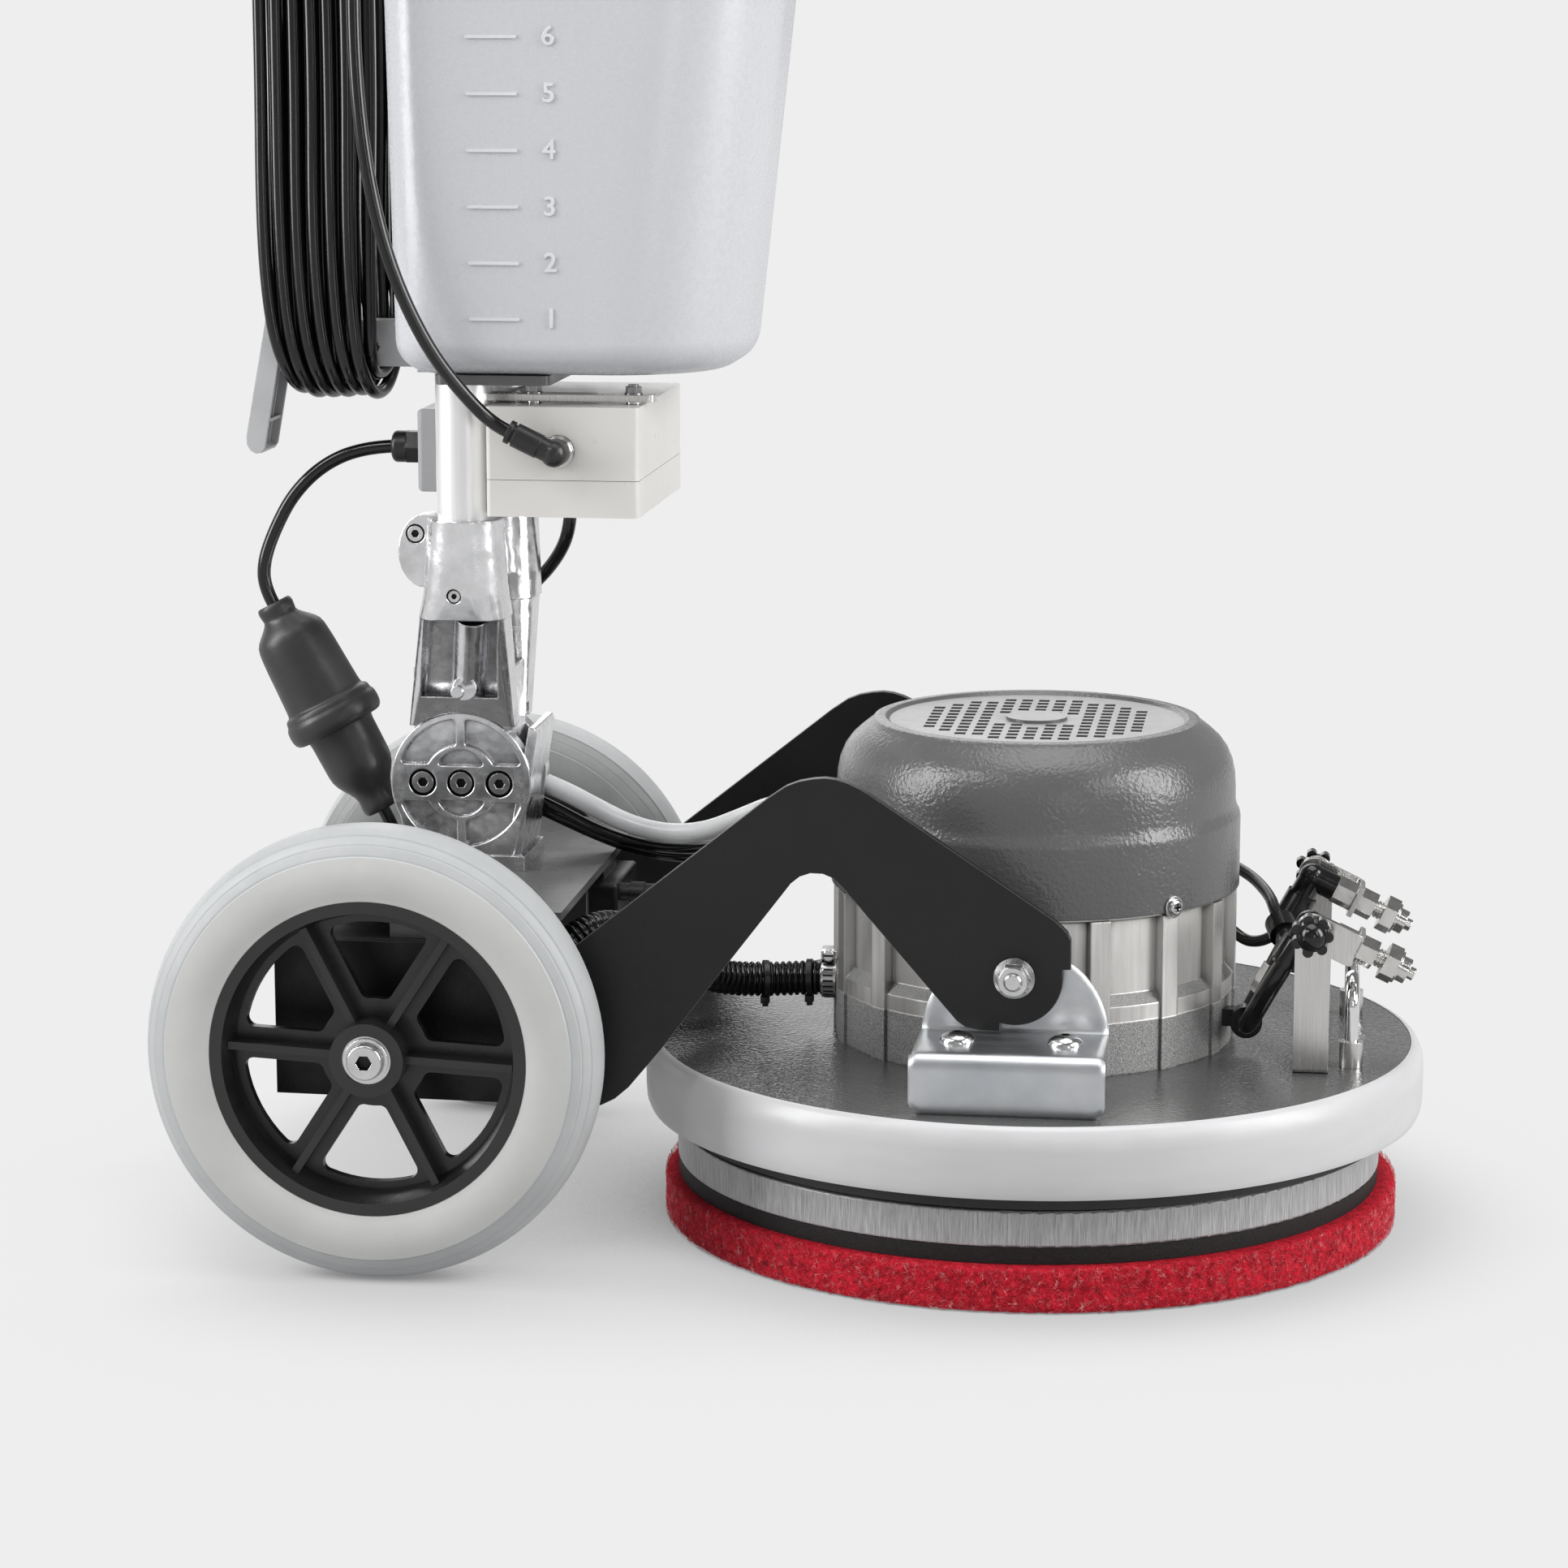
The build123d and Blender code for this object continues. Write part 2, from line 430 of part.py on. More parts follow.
axle = cy(WHEEL_X, WHEEL_R, 7.5, yb0 + 1.2, -CH_Y + 4 + 9) + cy(WHEEL_X, WHEEL_R, 10, yb0 - 5.5, yb0 + 1.4) + cy(WHEEL_X, WHEEL_R, 12.6, yb0 - 0.6, yb0 + 1.4)
axle += cy(WHEEL_X, WHEEL_R, 11, yb1, -ARM_Y - 0.0) + hexy(WHEEL_X, WHEEL_R, 22, -CH_Y + 4, -CH_Y + 4 + 9)
axle = fillet(axle.edges().filter_by(GeomType.CIRCLE).filter_by(lambda e: abs(e.center().Y - (yb0 - 5.5)) < 0.1), 1.2)
axle -= hexy(WHEEL_X, WHEEL_R, 8, yb0 - 6, yb0 - 1.5)
bolt = cy(0, PIVOT_Z, 5.0, -165, -138.8) + hexy(0, PIVOT_Z, 16, -138.8, -132) + cy(0, PIVOT_Z, 10, -CH_Y, -BR_Y - 0.35)
# flange nut: flat flange, cone, hexagon with a chamfered end, bolt end with a chamfer
flange = [(11.6, -ARM_Y), (11.6, -ARM_Y - 1.2), (8.6, -ARM_Y - 2.9), (0, -ARM_Y - 2.9), (0, -ARM_Y)]
bolt += Pos(0, 0, PIVOT_Z) * revolve(make_face(Polyline(*[(r, y, 0) for r, y in flange], close=True)), Axis.Y)
trim = [(0, -ARM_Y), (12, -ARM_Y), (12, -160.2), (7.9, -162.9), (0, -162.9)]
bolt += hexy(0, PIVOT_Z, 16.5, -162.9, -ARM_Y - 2) & (Pos(0, 0, PIVOT_Z) * revolve(make_face(Polyline(*[(r, y, 0) for r, y in trim], close=True)), Axis.Y))
bolt = chamfer(bolt.edges().filter_by(GeomType.CIRCLE).filter_by(lambda e: abs(e.center().Y + 165) < 0.05), 1.0)
AXLE_SET = both(axle) + both(bolt)

# ---------------------------------------------------------------- hinge base
base = bx(-374, -300, -31, 31, PLATE_Z, PLATE_Z + 9)
cheek = prism_xz([(-368, PLATE_Z + 5), (-308, PLATE_Z + 5), (-301.5, 232), (HINGE_X + DISC_R - 0.4, HINGE_Z), (HINGE_X - DISC_R + 0.4, HINGE_Z), (-374.5, 232)], -30, -18)
cheek += cy(HINGE_X, HINGE_Z, DISC_R, -30, -18)
# recessed pockets on the disc face: two upper and two lower quadrants and two D shapes
def ring_sector(r0, r1, a0, a1, y0, y1):
    n = 10
    pts = [(HINGE_X + r1 * math.cos(math.radians(a0 + (a1 - a0) * i / n)), HINGE_Z + r1 * math.sin(math.radians(a0 + (a1 - a0) * i / n))) for i in range(n + 1)]
    pts += [(HINGE_X + r0 * math.cos(math.radians(a1 - (a1 - a0) * i / n)), HINGE_Z + r0 * math.sin(math.radians(a1 - (a1 - a0) * i / n))) for i in range(n + 1)]
    return prism_xz(pts, y0, y1)


def ring_cut(sx, sz):
    ringc = cy(HINGE_X, HINGE_Z, 38.2, -32, -25.4) - cy(HINGE_X, HINGE_Z, 22.5, -35, -20)
    q = bx(HINGE_X + sx * 2.6, HINGE_X + sx * 60, -40, -20, HINGE_Z + sz * 11, HINGE_Z + sz * 60)
    q = ringc & q
    return fillet(q.edges().filter_by(Axis.Y), 2.2)


for sx in (-1, 1):
    for sz in (-1, 1):
        cheek -= ring_cut(sx, sz)
for s in (-1, 1):
    d = cy(HINGE_X, HINGE_Z + s * 4.6, 15.4, -32, -26) & bx(-400, -280, -40, -20, HINGE_Z + (10.2 if s > 0 else -40), HINGE_Z + (40 if s > 0 else -10.2))
    cheek -= fillet(d.edges().filter_by(Axis.Y), 1.6)
for dx in (-23, 0, 23):
    cheek -= cy(HINGE_X + dx, HINGE_Z, 8.2, -31, -24)
    cheek -= cy(HINGE_X + dx, HINGE_Z, 5.02, -40, -10)
base = base + both(cheek)[0] + both(cheek)[1]
# curved stop wall between the cheeks on the head side
base += prism_xz([(-312, PLATE_Z + 5), (-302.5, PLATE_Z + 5), (-297.5, 250), (-292.3, 284), (-293.5, 287.5), (-297, 288), (-301.5, 264)], -29, 29)
base -= cy(HINGE_X, HINGE_Z, 34.2, -17.9, 17.9)
base -= bx(-376, -304.2, -17.9, 17.9, PLATE_Z + 14, 300)
# distributor block for the hoses on the far side of the casting
base += bx(-326, -310, 29.8, 49, 221, 251)
for rt, rr in ((GREY, 6.0), (BLK1, 3.5), (BLK2, 3.5)):
    base += along(rt[0], tuple(Vector(*rt[0]) - Vector(*rt[1])), rr, 0, 8)
base += along(OUTLET[-1], tuple(Vector(*OUTLET[-1]) - Vector(*OUTLET[-2])), 4.0, 0, 8)
node("hinge_base", base)

fs = []
for dx in (-23, 23):
    s = cy(HINGE_X + dx, HINGE_Z, 6.4, -29.6, -24.0) + cy(HINGE_X + dx, HINGE_Z, 5.0, -24.0, -18.2)
    s -= hexy(HINGE_X + dx, HINGE_Z, 5.4, -30, -26)
    fs += both(s)
pin = cy(HINGE_X, HINGE_Z, 5.0, -24.2, 24.2) + cy(HINGE_X, HINGE_Z, 6.6, -29.6, -24.0) + cy(HINGE_X, HINGE_Z, 6.6, 24.0, 29.6)
pin -= hexy(HINGE_X, HINGE_Z, 5.4, -30, -26)
fs.append(pin)
node("frame_bolts", fs, AXLE_SET)

# ---------------------------------------------------------------- hinge head
def leg():
    s1 = Plane.XY.offset(288) * Pos(-337.3, -19) * RectangleRounded(63, 22, 3)
    s2 = Plane.XY.offset(357) * Pos(-330.6, -45.5) * RectangleRounded(50.5, 40, 12)
    s2b = Plane.XY.offset(356.4) * Pos(-330.2, -46) * RectangleRounded(52, 43, 14)
    s3 = Plane.XY.offset(372) * Pos(-328.8, -50.5) * RectangleRounded(48, 43.6, 18)
    s4 = Plane.XY.offset(415) * Pos(TUBE_X, -TUBE_Y) * RectangleRounded(43.2, 43.2, 21.4)
    lg = loft([s1, s2]) + loft([s2b, s3]) + loft([s3, s4])
    p1 = Plane.XY.offset(307) * Pos(-336.2, -49) * RectangleRounded(46, 36, 3)
    p2 = Plane.XY.offset(356.2) * Pos(-330, -68) * RectangleRounded(43.4, 36, 3)
    lg -= loft([p1, p2])
    # round socket wall standing in the pocket, boss and pin at its foot
    lg += along((-332, -31, 312), (6.8, -22, 44), 9.9, -2, 51)
    lg += along((-332, -25, 312), (0, -1, 0.06), 7.3, 0, 20)
    lg += along((-336, -38, 310.7), (0, -1, 0.06), 3.7, 0, 9.5)
    return lg


EAR_X, EAR_Z = -356.0, 406.2
SET_X, SET_Z = -331.8, 371.2
head = leg()
head = head + mirror(head, Plane.XZ)
head += bx(-368, -308, -17.5, 17.5, 262, 322)
head -= bx(-420, -300, -60, -17.6, 240, 262) + bx(-420, -300, 17.6, 60, 240, 262)
head += cy(HINGE_X, HINGE_Z, 33.5, -17.5, 17.5)
for s in (-1, 1):
    head -= cy(HINGE_X, HINGE_Z, DISC_R + 0.8, s * 17.6, s * 90)
    head -= cz(TUBE_X, s * TUBE_Y, TUBE_R, 374, 430)
    ear = prism_xz([(-340, 417.6), (-351.5, 417.6), (-356, 416.2), (-360, 413.2), (-363.2, 408.8), (-365.2, 403.5), (-366, 397.5), (-365.8, 391), (-364.2, 385.4),
                    (-361.2, 380.6), (-357.4, 377), (-353.6, 375.2), (-351, 375.6), (-340, 382)], s * TUBE_Y - 8, s * TUBE_Y + 8)
    head += ear - cz(TUBE_X, s * TUBE_Y, TUBE_R, 370, 430)
    head -= cy(EAR_X, EAR_Z, 4.02, s * TUBE_Y - 12, s * TUBE_Y + 12)
head -= cy(EAR_X, EAR_Z, 5.6, -TUBE_Y - 12, -TUBE_Y - 4)
head -= cy(EAR_X, EAR_Z, 5.6, TUBE_Y + 4, TUBE_Y + 12)
head -= cy(HINGE_X, HINGE_Z, 5.05, -40, 40)
# the corner of the neck that faces the stop wall is cut back
head -= bx(-306.5, -290, -17.6, 17.6, 230, 296)
head -= cy(SET_X, SET_Z, 3.52, -90, -60)
head -= cy(SET_X, SET_Z, 3.52, 60, 90)
head -= cy(SET_X, SET_Z, 4.3, -90, -70)
head -= cy(SET_X, SET_Z, 4.3, 70, 90)
node("hinge_head", head)

# ---------------------------------------------------------------- tubes, pump box, plate
node("handle_tubes", both(cz(TUBE_X, -TUBE_Y, TUBE_R, 375.4, TUBE_TOP) - cz(TUBE_X, -TUBE_Y, TUBE_R - 2.5, 370, TUBE_TOP + 5)))

ob = bx(BOX_X0, BOX_X1, -BOX_Y, BOX_Y, BOX_SPLIT + 0.3, BOX_Z1)
ob = fillet(ob.edges().filter_by(Axis.Z), 3)
ob -= bx(BOX_X0 + 3, BOX_X1 - 3, -BOX_Y + 3, BOX_Y - 3, BOX_SPLIT - 1, BOX_Z1 - 3)
ob -= cy(-268.5, 457, 6.02, -BOX_Y - 2, -BOX_Y + 6)
for x in (-287, -229):
    ob -= cz(x, -54, 3.02, 470, 490)
node("pump_box_body", ob)
lid = bx(BOX_X0, BOX_X1, -BOX_Y, BOX_Y, BOX_Z0, BOX_SPLIT)
lid = fillet(lid.edges().filter_by(Axis.Z), 3)
lid -= bx(BOX_X0 + 3, BOX_X1 - 3, -BOX_Y + 3, BOX_Y - 3, BOX_Z0 + 3, BOX_SPLIT + 1)
lid += cz(-287, 60, 7, BOX_Z0 - 8, BOX_Z0 + 0.5)
node("pump_box_lid", lid)
pump = bx(-296, -250, -36, 36, BOX_Z0 + 3, 452) + cx(0, 461, 13, -296, -236) + cx(0, 461, 15, -250, -240)
pump = pump - cx(0, 462, 5, -300, -290)
node("dosing_pump", pump)

PL0, PL1 = 483.6, 487.6
pplate = bx(-322, -216, -61, -47, PL0, PL1)
pplate = fillet(pplate.edges().filter_by(Axis.Z).filter_by(lambda e: e.center().X > -220), 4)
pplate -= cz(TUBE_X, -TUBE_Y, TUBE_R + 0.03, 470, 500)
for x in (-287, -229):
    pplate -= cz(x, -54, 3.02, 475, 490)
# cross block between the two tubes, behind the plate
pplate = solids(pplate) + solids(bx(-338, -318, -37.4, 37.4, 440, 472))
node("pump_plate", pplate)

hs = []
for x in (-287, -229):
    s = cz(x, -54, 3.0, 476, 493.2) + cz(x, -54, 5.2, PL1, PL1 + 0.9) + extrude(Pos(x, -54, PL1 + 0.9) * RegularPolygon(4.7, 6), 3.6) + cz(x, -54, 4.4, BOX_Z1, PL0)
    hs.append(s)
for sgn in (-1, 1):
    c = cy(EAR_X, EAR_Z, 4.6, sgn * (TUBE_Y + 4), sgn * (TUBE_Y + 8.2)) + cy(EAR_X, EAR_Z, 4.0, sgn * (TUBE_Y - 7), sgn * (TUBE_Y + 4.2))
    c -= hexy(EAR_X, EAR_Z, 4.2, sgn * (TUBE_Y + 6), sgn * (TUBE_Y + 10))
    hs.append(c)
    g = cy(SET_X, SET_Z, 3.5, sgn * 62, sgn * 71.0)
    g -= hexy(SET_X, SET_Z, 3.0, sgn * 69, sgn * 75)
    hs.append(g)

# ---------------------------------------------------------------- junction box and fittings
jb = bx(-360, -338.1, -36, 36, 427.6, 475.8)
jb = fillet(jb.edges().filter_by(lambda e: e.center().X < -358), 3.5)
jb = jb - bx(-356, -341, -32, 32, 432, 471.5)
jb -= cx(0, 450, 6.02, -362, -350)
node("junction_box", jb)

gland = cx(0, 450, 6.0, -360.2, -356.5) + extrude(Plane(origin=(-360, 0, 450), x_dir=(0, 1, 0), z_dir=(-1, 0, 0)) * RegularPolygon(10.4, 6), 13)
gl2 = cx(0, 450, 9.4, -382, -372.8)
gl2 = fillet(gl2.edges().filter_by(GeomType.CIRCLE).filter_by(lambda e: e.center().X < -381), 3)
gland = gland + gl2
gland -= cx(0, 450, 4.02, -390, -375)
EL = (-268.5, -93.0, 457.0)
ED = Vector(-21.5, 0, 10.2).normalized()
elbow = cy(-268.5, 457, 6.0, -BOX_Y - 0.2, -BOX_Y + 5) + cy(-268.5, 457, 9.4, -BOX_Y - 3, -BOX_Y) + cy(-268.5, 457, 8.4, -BOX_Y - 4.6, -BOX_Y - 3) + cy(-268.5, 457, 7.7, -93, -BOX_Y - 4.5) + Pos(*EL) * Sphere(7.7)
elbow += along(EL, tuple(ED), 6.6, 0, 10) + along(EL, tuple(ED), 7.1, 9, 24.5) + along(EL, tuple(ED), 5.6, 24, 26.4) + along(EL, tuple(ED), 6.9, 26.2, 29)
# cord gland under the control head, suction fitting on the tank's shoulder
cg = cz(-404, 50, 9, 1046.2, HEAD_Z0)
sf = cz(-283, -62, 8, 820, 833)
node("handle_fittings", gland, elbow, cg, sf)

# ---------------------------------------------------------------- tank
saddle = bx(-339, -273, -82, 82, 494.2, TANK_Z0 - 0.2)
saddle = fillet(saddle.edges().filter_by(Axis.Z), 5)
for s in (-1, 1):
    saddle -= cz(TUBE_X, s * TUBE_Y, TUBE_R, 480, 510)
node("tank_saddle", saddle)


def tank_sec(z, inset):
    x0 = -366 - (z - TANK_Z0) * 0.012 + inset
    x1 = -168 + (z - TANK_Z0) * 0.108 - inset
    w = 93 + (z - TANK_Z0) * 0.014 - inset
    plan = Pos((x0 + x1) / 2, 0) * Rectangle(x1 - x0, 2 * w)
    # wide corners towards the pad head, tighter ones at the handle tubes
    plan = fillet(plan.vertices().filter_by(lambda v: v.X > (x0 + x1) / 2), TANK_FRONT_R - inset)
    plan = fillet(plan.vertices().filter_by(lambda v: v.X < x0 + 1), max(34 - inset, 4))
    return Plane.XY.offset(z) * plan


def tank_body(zs, extra):
    secs = [tank_sec(z, i + extra) for z, i in zs]
    out = None
    for a, b in zip(secs[:-1], secs[1:]):
        l = loft([a, b])
        out = l if out is None else out + l
    return out


Z0 = TANK_Z0
TANK_ROUND, TOP_ROUND, TANK_FRONT_R = 19.0, 14.0, 76.0
low = [(Z0 + TANK_ROUND * (1 - math.cos(math.radians(t))), TANK_ROUND * (1 - math.sin(math.radians(t)))) for t in range(0, 91, 10)]
high = [(820 - TOP_ROUND * (1 - math.cos(math.radians(t))), TOP_ROUND * (1 - math.sin(math.radians(t)))) for t in range(90, -1, -15)]
tank = tank_body(low + high, 0)
hollow = tank_body([(Z0 + 4, 16), (Z0 + 7, 8.5), (Z0 + 13, 3), (Z0 + 21, 0.4), (800, 0), (812, 5), (816, 13)], 4)
tank = tank + cz(-235, 0, 46, 815, TANK_Z1)
recess_o = bx(-400, -305, -78, 78, Z0 - 5, 830)
recess_i = bx(-400, -309, -74, 74, Z0 - 5, 830)
tank = tank - hollow
tank = tank + (tank_body(low + high, 0) & recess_o)
tank = tank - recess_i
tank = tank - cz(-235, 0, 42, 800, TANK_Z1 + 5)
node("tank", tank)
cap = cz(-235, 0, 52, 829, 858) - cz(-235, 0, 46.4, 820, 829 + 9.4) - cz(-235, 0, 43, 800, 850)
cap = cap + (cz(-235, 0, 41.5, 833, 852) - cz(-235, 0, 38, 830, 846))
for i in range(20):
    cap -= Rot(0, 0, 0) * cz(-235 + 53.5 * math.cos(2 * math.pi * i / 20), 53.5 * math.sin(2 * math.pi * i / 20), 3, 825, 850)
node("tank_cap", cap)

# ---------------------------------------------------------------- cord hooks
def hook():
    """Lower hook: deep arm, cross bar on the tubes and a flared channel-shaped finger open towards the cord."""
    arm_ = bx(-455, -350, -11.5, 11.5, 498, 524.4)
    cross = bx(-352, -344.6, -68, 68, 500, 518)
    fin = prism_xz([(-453.2, 527), (-466.6, 456), (-466.4, 451.5), (-464.4, 448), (-461, 446.2), (-457.6, 446.6), (-455.6, 449.6), (-442.6, 521), (-443.4, 525), (-446, 527)], -16.5, 16.5)
    hollow_ = prism_xz([(-462.2, 464), (-461.9, 454.5), (-456, 448), (-452, 448), (-440, 497), (-456.2, 497)], -14, 14)
    fin -= hollow_
    rib = prism_xz([(-463, 464.6), (-453.4, 464.6), (-452.9, 466.6), (-463, 466.6)], -15, 15) + prism_xz([(-463, 455), (-457, 452), (-449.4, 496), (-455, 498)], -0.8, 0.8)
    return arm_ + cross + fin + rib


h_lo = hook()
h_hi = Pos(0, 0, 497.3) * Pos(0, 0, 511.2) * Rot(180, 0, 0) * Pos(0, 0, -511.2) * h_lo
h_lo -= cy(-391, 509.6, 3.02, -20, 20)
h_hi -= cy(-391, 1010.1, 3.02, -20, 20)
node("cord_hooks", h_lo, h_hi)
for hz in (509.6, 1010.1):
    s = cy(-391, hz, 3.0, -13.6, 13.6) + hexy(-391, hz, 10, -14.6, -11.5) + hexy(-391, hz, 10, 11.5, 14.6)
    hs.append(s)
node("handle_screws", hs)

# ---------------------------------------------------------------- control head (upper end of the handle)
ch = prism_xz([(-392, HEAD_Z0), (-290, HEAD_Z0), (-283, HEAD_Z0 + 22), (-300, HEAD_Z1 - 8), (-318, HEAD_Z1), (-386, HEAD_Z1), (-396, HEAD_Z1 - 10), (-414, HEAD_Z0 + 30), (-414, HEAD_Z0)], -76, 76)
ch = fillet(ch.edges().filter_by(Axis.Y), 5)
for s in (-1, 1):
    ch -= cz(TUBE_X, s * TUBE_Y, TUBE_R, HEAD_Z0 - 5, TUBE_TOP)
ch -= cz(-345, 0, 10.4, HEAD_Z1 - 14, HEAD_Z1 + 5)
# pocket for the tilt lever
ch -= bx(-420, -399, -23, 23, 1078, 1097)
# ears and pins for the two triggers, and the lever's pin
ears = cx(-84, 1075, 3.0, -384, -356) + bx(-384, -378.6, -90, -75.5, 1068, 1082) + bx(-361.4, -356, -90, -75.5, 1068, 1082)
ch = ch + ears + mirror(ears, Plane.XZ) + cy(-405, 1087, 2.5, -26, 26)
node("control_head", ch)
grip = cy(-370, 1106, 15, -212, -76)
grip = fillet(grip.edges().filter_by(GeomType.CIRCLE).filter_by(lambda e: e.center().Y < -200), 7)
for i in range(9):
    yy = -92 - 12.0 * i
    grip += cy(-370, 1106, 16.4, yy - 3, yy + 3)
node("hand_grips", both(grip))
trig = bx(-378, -362, -172, -80, 1070, 1077) + bx(-378, -362, -172, -164, 1070, 1079) + cx(-84, 1075, 6, -378, -362)
trig = trig - cx(-84, 1075, 3.05, -390, -350)
node("trigger_near", trig)
node("trigger_far", mirror(trig, Plane.XZ))
btn = cz(-345, 0, 10.0, 1121, 1136)
btn = fillet(btn.edges().filter_by(GeomType.CIRCLE).filter_by(lambda e: e.center().Z > 1135), 2)
node("safety_button", btn)
lev = bx(-438, -402, -20, 20, 1084, 1090) + cy(-405, 1087, 5, -20, 20)
lev = fillet(lev.edges().filter_by(Axis.Z).filter_by(lambda e: e.center().X < -437), 8)
lev -= cy(-405, 1087, 2.55, -30, 30)
node("tilt_lever", lev)

# ---------------------------------------------------------------- cords, leads, hoses
hank_o = bx(-453, -388, -37, 37, 517, 1009) + cx(0, 517, 37, -453, -388) + cx(0, 1009, 37, -453, -388)
hank_i = bx(-470, -380, -20, 20, 497.6, 1022.2)
hank = hank_o - hank_i - bx(-470, -446.6, -20, 20, 440, 530) - bx(-470, -446.6, -20, 20, 990, 1080)
node("mains_cord", hank)
plug = cz(-424, 56, 17, 840, 872) + cz(-424, 56, 12, 872, 884) + cz(-424, 56, 5.5, 884, 896)
plug += cz(-424 - 9.5, 56, 2.4, 821, 840) + cz(-424 + 9.5, 56, 2.4, 821, 840)
plug = plug + bx(-428, -420, 37.05, 42, 850, 858)
node("mains_plug", plug)

CA, CB = Vector(-456.8, 0, 355), Vector(-391.8, 0, 231.6)
cd = (CB - CA).normalized()
L = (CB - CA).length
LEAD_UP = [(-382.05, 0, 450), (-400, 0, 449), (-424, 0, 439), (-443, 0, 421), (-455, 0, 399), (-462, 0, 380), tuple(CA - cd * 11), tuple(CA)]
LEAD_LO = [tuple(CB), tuple(CB + cd * 12), (-383.6, 0, 210), (-383, 0, 197), (-383, 0, 183)]
node("motor_lead", hose(LEAD_UP, 4.0), hose(LEAD_LO, 4.0))

cpl = Plane(origin=tuple(CA), x_dir=(0, 1, 0), z_dir=tuple(cd))


def turned(pts):
    f = make_face(Polyline(*[(r, 0, z) for r, z in pts], close=True))
    return cpl * revolve(f, Axis.Z)


# rubber plug and socket on the motor lead
upper_half = turned([(0, 0), (8.5, 0), (9.5, 4), (9.5, 11), (14, 15), (20.5, 24), (22.5, 30), (23.5, 66), (28.5, 67), (28.5, 72.4), (0, 72.4)])
lower_half = turned([(0, 72.6), (28.5, 72.6), (29, 78), (24, 80), (21, 84), (19.5, 100), (18, 114), (12, 122), (9, 126), (8.5, L), (0, L)])
node("lead_coupling", upper_half, lower_half)

S0 = Vector(*EL) + ED * 29
SUCTION = [tuple(S0), tuple(S0 + ED * 10), (-318, -100, 490), (-335, -105, 513), (-350, -108, 543), (-361, -109, 574), (-369, -109.5, 610), (-374, -110, 650),
           (-376, -110, 695), (-375, -110, 745), (-370, -109.5, 800), (-366, -109, 853), (-341.7, -95.3, 881), (-307.3, -75.7, 881), (-283, -62, 853), (-283, -62, 833)]
node("suction_hose", hose(SUCTION, 4.0))

node("outlet_hose", hose(OUTLET, 4.0))

BLK1 += [tuple(TIP_F + DIR_F * 9), tuple(TIP_F)]
BLK2 += [tuple(VIN + VI * 12), tuple(VIN)]
NEAR = [tuple(V2), tuple(V2 + Vector(0, -9, 0)), tuple(V2 + Vector(3.2, -16.1, 6.3)), tuple(TIP_N + DIR_N * 12), tuple(TIP_N)]
node("deck_hoses", hose(GREY, 6.0), hose(BLK1, 3.5), hose(BLK2, 3.5), hose(NEAR, 5.6))

CONDUIT = [(-101, 0, 136), (-130, 0, 136), (-160, -2, 134), (-188, -14, 137), (-210, -36, 152), (-227, -62, 172), (-242, -88, 184), (-259, -106, 178), (-275, -116, 160), (-291, -119, 139), (-310, -119, 124)]
node("motor_conduit", hose(CONDUIT, 10.4))

# ---------------------------------------------------------------- write
for name, ss in NODES.items():
    obj = ss[0] if len(ss) == 1 else Compound(children=ss)
    export_step(obj, f"parts/{name}.step")
print(len(NODES), "nodes")
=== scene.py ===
import json
import math
import random

import bpy
import numpy as np
from mathutils import Matrix, Vector
from mathutils.bvhtree import BVHTree


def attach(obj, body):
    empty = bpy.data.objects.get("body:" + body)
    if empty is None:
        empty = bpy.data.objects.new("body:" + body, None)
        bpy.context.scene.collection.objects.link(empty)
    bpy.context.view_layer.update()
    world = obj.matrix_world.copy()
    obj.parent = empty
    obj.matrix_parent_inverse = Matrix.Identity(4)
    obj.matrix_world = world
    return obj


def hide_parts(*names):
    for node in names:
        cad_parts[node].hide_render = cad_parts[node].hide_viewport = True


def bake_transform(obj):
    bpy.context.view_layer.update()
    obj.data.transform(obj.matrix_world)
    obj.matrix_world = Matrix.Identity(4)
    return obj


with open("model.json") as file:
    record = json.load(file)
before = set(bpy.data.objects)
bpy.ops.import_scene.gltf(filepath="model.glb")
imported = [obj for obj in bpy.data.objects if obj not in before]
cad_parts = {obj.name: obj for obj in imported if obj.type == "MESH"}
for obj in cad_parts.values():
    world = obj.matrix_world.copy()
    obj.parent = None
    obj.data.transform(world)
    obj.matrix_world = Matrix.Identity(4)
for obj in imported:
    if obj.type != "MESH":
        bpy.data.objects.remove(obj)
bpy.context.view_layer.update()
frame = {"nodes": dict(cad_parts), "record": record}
NODES = frame["nodes"]
SCENE = bpy.context.scene
rnd = random.Random(7)


def mm(*p):
    return Vector(p) * 0.001


# ------------------------------------------------------------------ camera
cam_data = bpy.data.cameras.new("camera")
cam_data.sensor_fit = "HORIZONTAL"
cam_data.sensor_width = 36.0
cam_data.lens = 98.585
cam_data.clip_start, cam_data.clip_end = 0.05, 60.0
camera = bpy.data.objects.new("camera", cam_data)
SCENE.collection.objects.link(camera)
camera.location = (0.17649, -2.47815, 0.72033)
camera.rotation_euler = (math.pi / 2 - 0.185, 0.0, 0.1307)
SCENE.camera = camera


